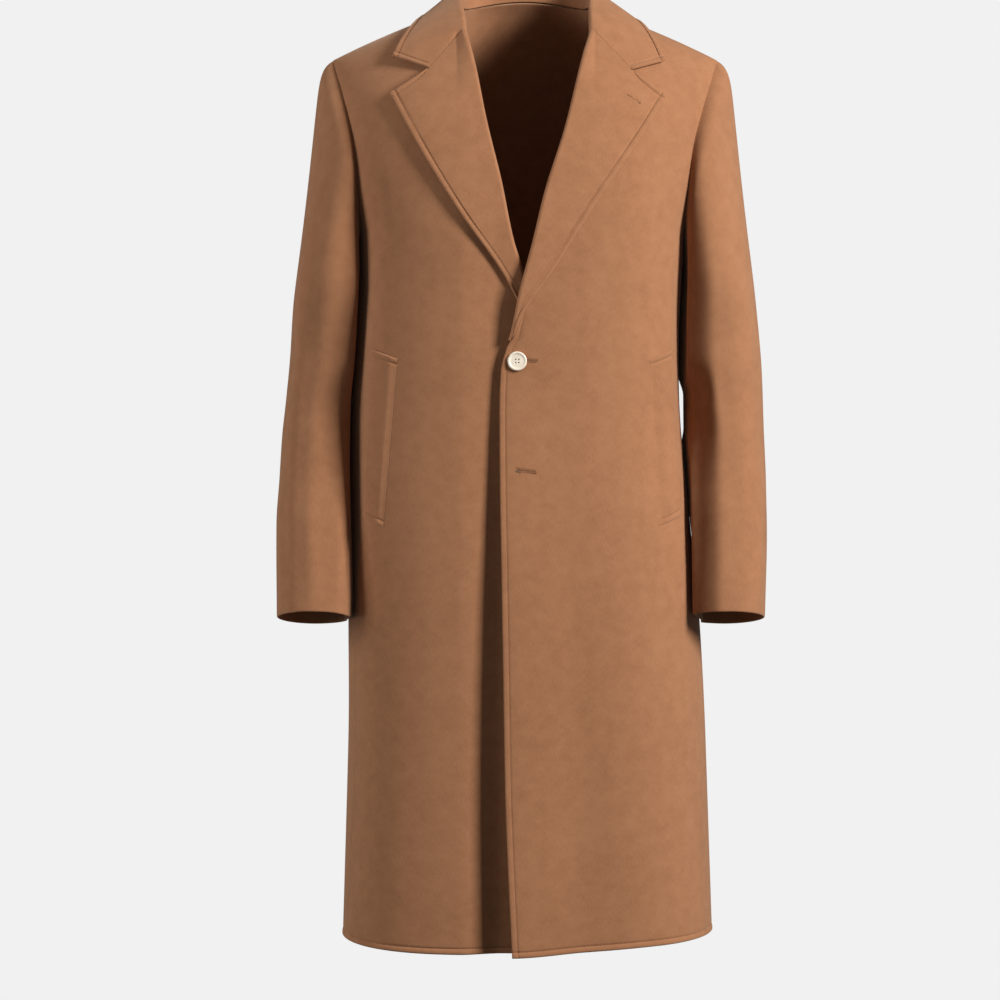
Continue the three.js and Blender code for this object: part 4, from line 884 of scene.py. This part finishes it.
def neckline(side):
    """Points from the gorge over the shoulder to the middle of the back, with the face's direction."""
    z = np.linspace(float(gorge_height(side)), 0, 30)
    angle = edge_angle(side, z)
    z_back = np.full(60, 5.0)
    back_angle = np.linspace(-8, -90, 60)
    for _ in range(14):
        z_back = neck_height(face(side, back_angle, z_back)[..., 0])
    back_line = face(side, back_angle, z_back)
    inside = np.abs(back_line[:, 0]) < NECK_X - 1
    points = np.concatenate([face(side, angle, z), back_line[inside]])
    normals = np.concatenate([outward(side, angle, z), outward(side, back_angle, z_back)[inside]])
    return points, normals


def collar_half(side):
    """Half of the collar, from the gorge seam to the middle of the back: up the stand, over the fold and down
    the fall. The fall leaves the fold along its tangent and ends on the outer edge's line."""
    collar = COLLARS[side]
    gorge_row, gorge_facing = lapel_rows[side]
    points, normals = neckline(side)
    length = lengths(points[None])[0]
    part = length / length[-1]
    keep = np.linspace(0, 1, 90)
    points = np.stack([np.interp(keep, part, points[:, k]) for k in range(3)], -1)
    part = keep
    tip = over_shoulder(side, np.array([0.0]))[0]
    shoulder = over_shoulder(side, np.array([1.0]))[0]
    rows = [(SHOULDER_SHARE, side * shoulder[0], shoulder[1], shoulder[2]), *COLLAR_EDGE]
    behind = np.stack([curve(rows, k)(part) for k in (1, 2, 3)], -1) * np.array([side, 1, 1])
    end = np.where(part[:, None] < SHOULDER_SHARE, over_shoulder(side, np.clip(part / SHOULDER_SHARE, 0, 1)), behind)
    along = np.gradient(points, axis=0) * np.array([1, 1, 0])
    along[-1] = (-side, 0, 0)
    along = unit(along)
    out = np.stack([-side * along[:, 1], side * along[:, 0], 0 * part], -1)
    centred = (out * (points - np.array([0, 10, 0]))).sum(-1, keepdims=True)
    out = np.where(centred < 0, -out, out)
    blend = smooth(part / 0.3)[:, None]
    gorge_out = unit(gorge_row[ROLL_STEPS + 1] - gorge_row[ROLL_STEPS])
    facing = unit(mix(normals[:1], out, blend))
    lean = mix(collar["lean"], BACK_LEAN, smooth((part - SHOULDER_SHARE) / (1 - SHOULDER_SHARE)))[:, None]
    upright = np.array([0, 0, 1.0]) - out * lean
    rise = mix(-gorge_out, upright, blend)
    rise = unit(rise - facing * dot(rise, facing))
    height = curve(COLLAR_STAND, 1)(part)[:, None]
    foot = points + rise * EDGE_GAP - facing * TURNED_CLOTH
    centre = foot + rise * height + facing * ROLL_RADIUS
    turn = np.full((len(part), 1), np.pi * 0.9)
    for _ in range(8):
        fall = end - (centre + ROLL_RADIUS * (rise * np.sin(turn) - facing * np.cos(turn)))
        turn = np.arctan2(dot(fall, facing), dot(fall, rise)) % (2 * np.pi)
    step = np.linspace(0, 1, ROLL_STEPS + 1)[None, :, None]
    spin = turn[:, None] * step
    fold_facing = rise[:, None] * np.sin(spin) - facing[:, None] * np.cos(spin)
    fold = centre[:, None] + ROLL_RADIUS * fold_facing
    up = np.linspace(0, 1, STAND_STEPS, endpoint=False)[None, :, None]
    stand = mix(foot[:, None], fold[:, :1], up)
    down = np.linspace(0, 1, COLLAR_STEPS + NOTCH_STEPS + 1)[None, 1:, None]
    fallen = mix(fold[:, -1:], end[:, None], down) + fold_facing[:, -1:] * FALL_SWELL * np.sin(np.pi * down)
    grid = np.concatenate([stand, fold, fallen], axis=1)
    grid[0] = gorge_line(side, gorge_row, gorge_facing)
    return grid


def gorge_line(side, row, facing):
    """The collar's front end: along the gorge seam beside the lapel, then from the notch out to its tip."""
    collar = COLLARS[side]
    start, end, notch = row[ROLL_STEPS], row[-1], row[ROLL_STEPS + NEAR_STEPS]
    up = np.array([-(notch[2] - start[2]), 0, notch[0] - start[0]]) * side
    gap = up / np.linalg.norm(up) * SEAM_GAP
    rolled = row[: ROLL_STEPS + 1] + gap
    foot = rolled[0] - facing[ROLL_STEPS // 2] * FOOT_STEP
    stand = mix(foot, rolled[0], np.linspace(0, 1, STAND_STEPS, endpoint=False)[:, None])
    near = np.linspace(0, 1, COLLAR_STEPS + 1)[1:]
    far = np.linspace(0, 1, NOTCH_STEPS + 1)[1:]
    corner = notch + gap
    x, z = mix(start[0] + gap[0], corner[0], near), mix(start[2] + gap[2], corner[2], near)
    sewn = above(side, x, z, face_height(ROLL_RADIUS, LAPEL_TOP[side], (x - gap[0] - start[0]) / (end[0] - start[0])))
    notch_height = face_height(ROLL_RADIUS, LAPEL_TOP[side], (notch[0] - start[0]) / (end[0] - start[0]))
    x, z = mix(corner[0], side * collar["tip"][0], far), mix(corner[2], collar["tip"][1], far)
    free = above(side, x, z, mix(notch_height, collar["top"], far))
    return np.concatenate([stand, rolled, sewn, free])


halves = {side: collar_half(side) for side in (RIGHT, LEFT)}
grid = np.concatenate([halves[RIGHT][:-1], halves[LEFT][::-1]])
sewn_share = {}
for side in (RIGHT, LEFT):
    length = lengths(halves[side][:1])[0]
    sewn_share[side] = length[STAND_STEPS + ROLL_STEPS + COLLAR_STEPS] / length[-1]
ends = [([(0, 0), (s - 0.01, 0), (s + 0.01, 1), (1, 1)],) * 2 for s in (sewn_share[RIGHT], sewn_share[LEFT])]
collar_piece = cloth(
    "collar_cloth", grid, -1, (SEAM, TURNED, ends[0], ends[1]), (90, 150), "turned_cloth", TURNED_CLOTH
)[0]
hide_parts("collar")

# Pocket welts. Slanted upright strips of doubled cloth, seamed to the front along their inner edge, free
# along the outer one, and stitched down at both ends.
# upper and lower corner of the seamed and of the free edge, as x and z
WELTS = {
    LEFT: (((141.5, -413), (153.5, -606)), ((169.5, -402), (180.5, -594))),
    RIGHT: (((147.1, -412.7), (163.6, -606.8)), ((176.9, -402), (188, -594.9))),
}
WELT_GAP, WELT_LIFT, WELT_SUNK = 0.5, 1.2, {LEFT: -0.2, RIGHT: 0.7}
WELT_RISE = {LEFT: 1.5, RIGHT: 3}


def welt_grid(side):
    """The front's own points, moved out: hardly at the seam, where the welt is drawn in, by its thickness
    further out, and a little more along the free edge."""
    (seam_top, seam_low), (free_top, free_low) = np.array(WELTS[side])
    down = np.linspace(0, 1, 120)[:, None]
    across = np.linspace(0, 1, 30)[None, :]
    x = mix(mix(seam_top[0], seam_low[0], down), mix(free_top[0], free_low[0], down), across)
    z = mix(mix(seam_top[1], seam_low[1], down), mix(free_top[1], free_low[1], down), across)
    lift = WELT_LIFT * across ** 2 * np.sin(np.pi * down)
    full = TURNED_CLOTH + WELT_GAP + lift
    return above(side, side * x, z, mix(WELT_SUNK[side], full, smooth(across * WELT_RISE[side])))


for side in (LEFT, RIGHT):
    node = "welt_" + SIDE_NAMES[side]
    piece = cloth(
        node + "_cloth", welt_grid(side), -side, (SEAM, PLAIN, TURNED, TURNED), (12, 90), "welt_cloth", TURNED_CLOTH
    )[0]
    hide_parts(node)

# Buttonholes. Worked by hand: a round eye near the edge and a straight slit away from it, cut through and
# overcast with close stitches of twist, which stand up as a rim. Two in the overlapping front, one in its
# lapel.
# x and z of the eye and of the slit's end, radius of the eye, width of the slit, height above the front
HOLES = {
    "upper": ((-10, -416), (12.4, -416.5), 2.3, 0.45, 0),
    "lower": ((-10, -541), (12.6, -543), 1.5, 0.45, 0),
    "lapel": ((130.2, -121), (116.6, -111.2), 0.9, 0.25, 5.5),
}
RIM_RADIUS, RIM_PITCH = 0.34, 0.85


def hole_outline(length, eye, slit):
    """Points round a keyhole, eye at 0 and slit along +x, as (x, y) pairs: an arc and a rounded end."""
    open_angle = math.asin(slit / 2 / eye)
    arc = np.linspace(open_angle, 2 * np.pi - open_angle, 28)
    cap = np.linspace(-np.pi / 2, np.pi / 2, 9)
    steps = np.linspace(0, 1, 18)[1:-1]
    start, stop = eye * math.cos(open_angle), length - slit / 2
    round_eye = np.stack([eye * np.cos(arc), eye * np.sin(arc)], -1)
    lower = np.stack([mix(start, stop, steps), np.full(16, -slit / 2)], -1)
    end = np.stack([stop + slit / 2 * np.cos(cap), slit / 2 * np.sin(cap)], -1)
    upper = np.stack([mix(stop, start, steps), np.full(16, slit / 2)], -1)
    return np.concatenate([round_eye, lower, end, upper])


def cut(piece, points, faces):
    """Takes a closed solid away from a piece, for good."""
    mesh = bpy.data.meshes.new("cutter")
    mesh.from_pydata(points * 0.001, [], faces)
    cutter = add_object("cutter", mesh)
    hole = piece.modifiers.new("hole", "BOOLEAN")
    hole.operation, hole.solver, hole.object = "DIFFERENCE", "EXACT", cutter
    evaluated = piece.evaluated_get(bpy.context.evaluated_depsgraph_get())
    made = bpy.data.meshes.new_from_object(evaluated)
    piece.modifiers.clear()
    piece.data = made
    bpy.data.objects.remove(cutter)


def work_hole(piece, name, eye_at, end_at, eye, slit, height, slot):
    """Cuts one buttonhole through a piece and lays its overcast rim round it: a thread rope whose radius
    swells with every stitch."""
    place = np.array([eye_at, end_at], float)
    eye_point, end_point = above(LEFT, place[:, 0], place[:, 1], height)
    normal = outward(LEFT, angle_at(LEFT, *place[0]), place[0, 1])
    along = unit(end_point - eye_point - normal * ((end_point - eye_point) @ normal))
    across = np.cross(normal, along)
    outline = hole_outline(np.linalg.norm(end_point - eye_point), eye, slit)
    flat = eye_point + outline[:, :1] * along + outline[:, 1:] * across
    count = len(outline)
    ring = np.arange(count)
    walls = np.stack([ring, (ring + 1) % count, (ring + 1) % count + count, ring + count], -1).tolist()
    solid = np.concatenate([flat - normal * 7, flat + normal * 4])
    cut(piece, solid, [*walls, ring[::-1].tolist(), (ring + count).tolist()])
    closed = np.concatenate([outline, outline[:1]])
    length = lengths(closed[None])[0]
    at = np.arange(0, length[-1], RIM_PITCH / 4)
    path = np.stack([np.interp(at, length, closed[:, k]) for k in range(2)], -1)
    ahead = np.roll(path, -1, axis=0) - np.roll(path, 1, axis=0)
    side_of = unit(np.stack([ahead[:, 1], -ahead[:, 0]], -1))
    middle = path + side_of * RIM_RADIUS * 0.55
    turn = np.arange(8) * np.pi / 4
    thick = RIM_RADIUS * (0.85 + 0.15 * np.cos(2 * np.pi * at / RIM_PITCH))[:, None]
    plane = middle[:, None] + side_of[:, None] * (thick * np.cos(turn))[..., None]
    rise = 0.12 + thick * np.sin(turn)
    points = eye_point + plane[..., :1] * along + plane[..., 1:] * across + rise[..., None] * normal
    index = np.arange(len(at) * 8).reshape(-1, 8)
    beyond = np.roll(index, -1, axis=0)
    faces = np.stack([index, np.roll(index, -1, 1), np.roll(beyond, -1, 1), beyond], -1).reshape(-1, 4)
    mesh_piece(name, points, faces, TWIST)


for hole, target, slot in (("upper", fronts[LEFT][0], "body_cloth"), ("lower", fronts[LEFT][0], "body_cloth"),
                           ("lapel", lapels[LEFT], "turned_cloth")):
    work_hole(target, f"buttonhole_{hole}", *HOLES[hole], slot)

# Buttons. Polished ivory-coloured buttons, 22 mm across, turned with a raised rim round a flat well with
# four holes, and sewn to the front beneath on a shank of thread.
BUTTON_X = -10
BUTTON_RADIUS, RIM_WIDTH, WELL_DEPTH, RIM_DEPTH = 11, 1.45, 2.35, 3.4
HOLE_RADIUS, HOLE_APART, SHANK_RADIUS = 0.85, 1.75, 3.0
BUTTON_GAP, LOWER_STEM = 0.4, 0.8


def ivory():
    """Polished horn-like plastic: pale cream with slow clouds, a clear gloss and fine wear."""
    material, shade = new_material("ivory_button")
    place = shade.node("TexCoord", out=3)
    cloud = shade.node("TexNoise", None, {"Vector": place, "Scale": 160, "Detail": 3, "Roughness": 0.6})
    fine = shade.node("TexNoise", None, {"Vector": place, "Scale": 1400, "Detail": 2, "Roughness": 0.5})
    colour = shade.node(
        "Mix", {"data_type": "RGBA"}, {0: cloud, 6: (0.70, 0.60, 0.46, 1), 7: (0.93, 0.83, 0.70, 1)}, out=2
    )
    bump = shade.node("Bump", None, {"Strength": 0.06, "Distance": 0.0001, "Height": fine})
    surface = shade.node("BsdfPrincipled", None, {
        "Base Color": colour,
        "Roughness": 0.22 + 0.12 * fine,
        "Normal": bump,
        "Coat Weight": 0.35,
        "Coat Roughness": 0.12,
    })
    shade.node("OutputMaterial", None, {0: surface})
    return material


def turned(profile, count):
    """A closed solid turned round the Y axis: rings of points from (radius, height) pairs, facing -Y, and a
    cap on the first and last ring."""
    turn = np.linspace(0, 2 * np.pi, count, endpoint=False)
    radius, height = np.array(profile, float).T[:, :, None]
    points = np.stack([radius * np.cos(turn), -height + 0 * turn, radius * np.sin(turn)], -1)
    index = np.arange(points.shape[0] * count).reshape(-1, count)
    a, b = index[:-1], np.roll(index[:-1], -1, axis=1)
    c, d = np.roll(index[1:], -1, axis=1), index[1:]
    quads = np.stack([a, d, c, b], -1).reshape(-1, 4).tolist()
    return points.reshape(-1, 3), [*quads, index[0].tolist(), index[-1, ::-1].tolist()]


def button_profile():
    """From the middle of the well over the rim to the back: flat, a soft rise, most of a circle, flat."""
    well = [(r, WELL_DEPTH) for r in (0.05, 1.5, 3.2, 5.0, 6.6)]
    round_rim = np.radians(np.linspace(130, -90, 18))
    middle = (BUTTON_RADIUS - RIM_WIDTH, RIM_DEPTH - RIM_WIDTH)
    rim = [(middle[0] + RIM_WIDTH * math.cos(t), middle[1] + RIM_WIDTH * math.sin(t)) for t in round_rim]
    part = np.linspace(0, 1, 8)[1:-1]
    rise = [(mix(6.6, rim[0][0], t), mix(WELL_DEPTH, rim[0][1], t * t)) for t in part]
    return [*well, *rise, *rim, (7.0, 0.5), (3.5, 0.45), (0.05, 0.45)]


IVORY = ivory()
for name, z, side in (("upper", -416, LEFT), ("lower", -541, RIGHT)):
    seat = above(side, BUTTON_X, z, 0)
    beneath = above(RIGHT, BUTTON_X, z, 0)[1] - 0.3
    back = seat[1] - BUTTON_GAP if side == LEFT else beneath - LOWER_STEM
    place = np.array([BUTTON_X, back, z])
    points, faces = turned(button_profile(), 72)
    button = mesh_piece(f"button_{name}_turned", points + place, faces, IVORY)
    for x, up in ((-1, -1), (-1, 1), (1, -1), (1, 1)):
        hole_points, hole_faces = turned([(HOLE_RADIUS, 6), (HOLE_RADIUS, -2)], 20)
        offset = np.array([x * HOLE_APART, 0, up * HOLE_APART])
        cut(button, hole_points + place + offset, hole_faces)
    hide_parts("button_" + name)
    waist = np.linspace(0, 1, 9)
    stem = beneath + 0.2 - back
    widths = SHANK_RADIUS * (0.8 + 0.2 * np.cos(2 * np.pi * waist))
    shank, shank_faces = turned([(0.05, 1.2), *zip(widths, mix(1.2, -stem, waist)), (0.05, -stem)], 24)
    mesh_piece(f"button_{name}_thread", shank + place, shank_faces, THREAD)
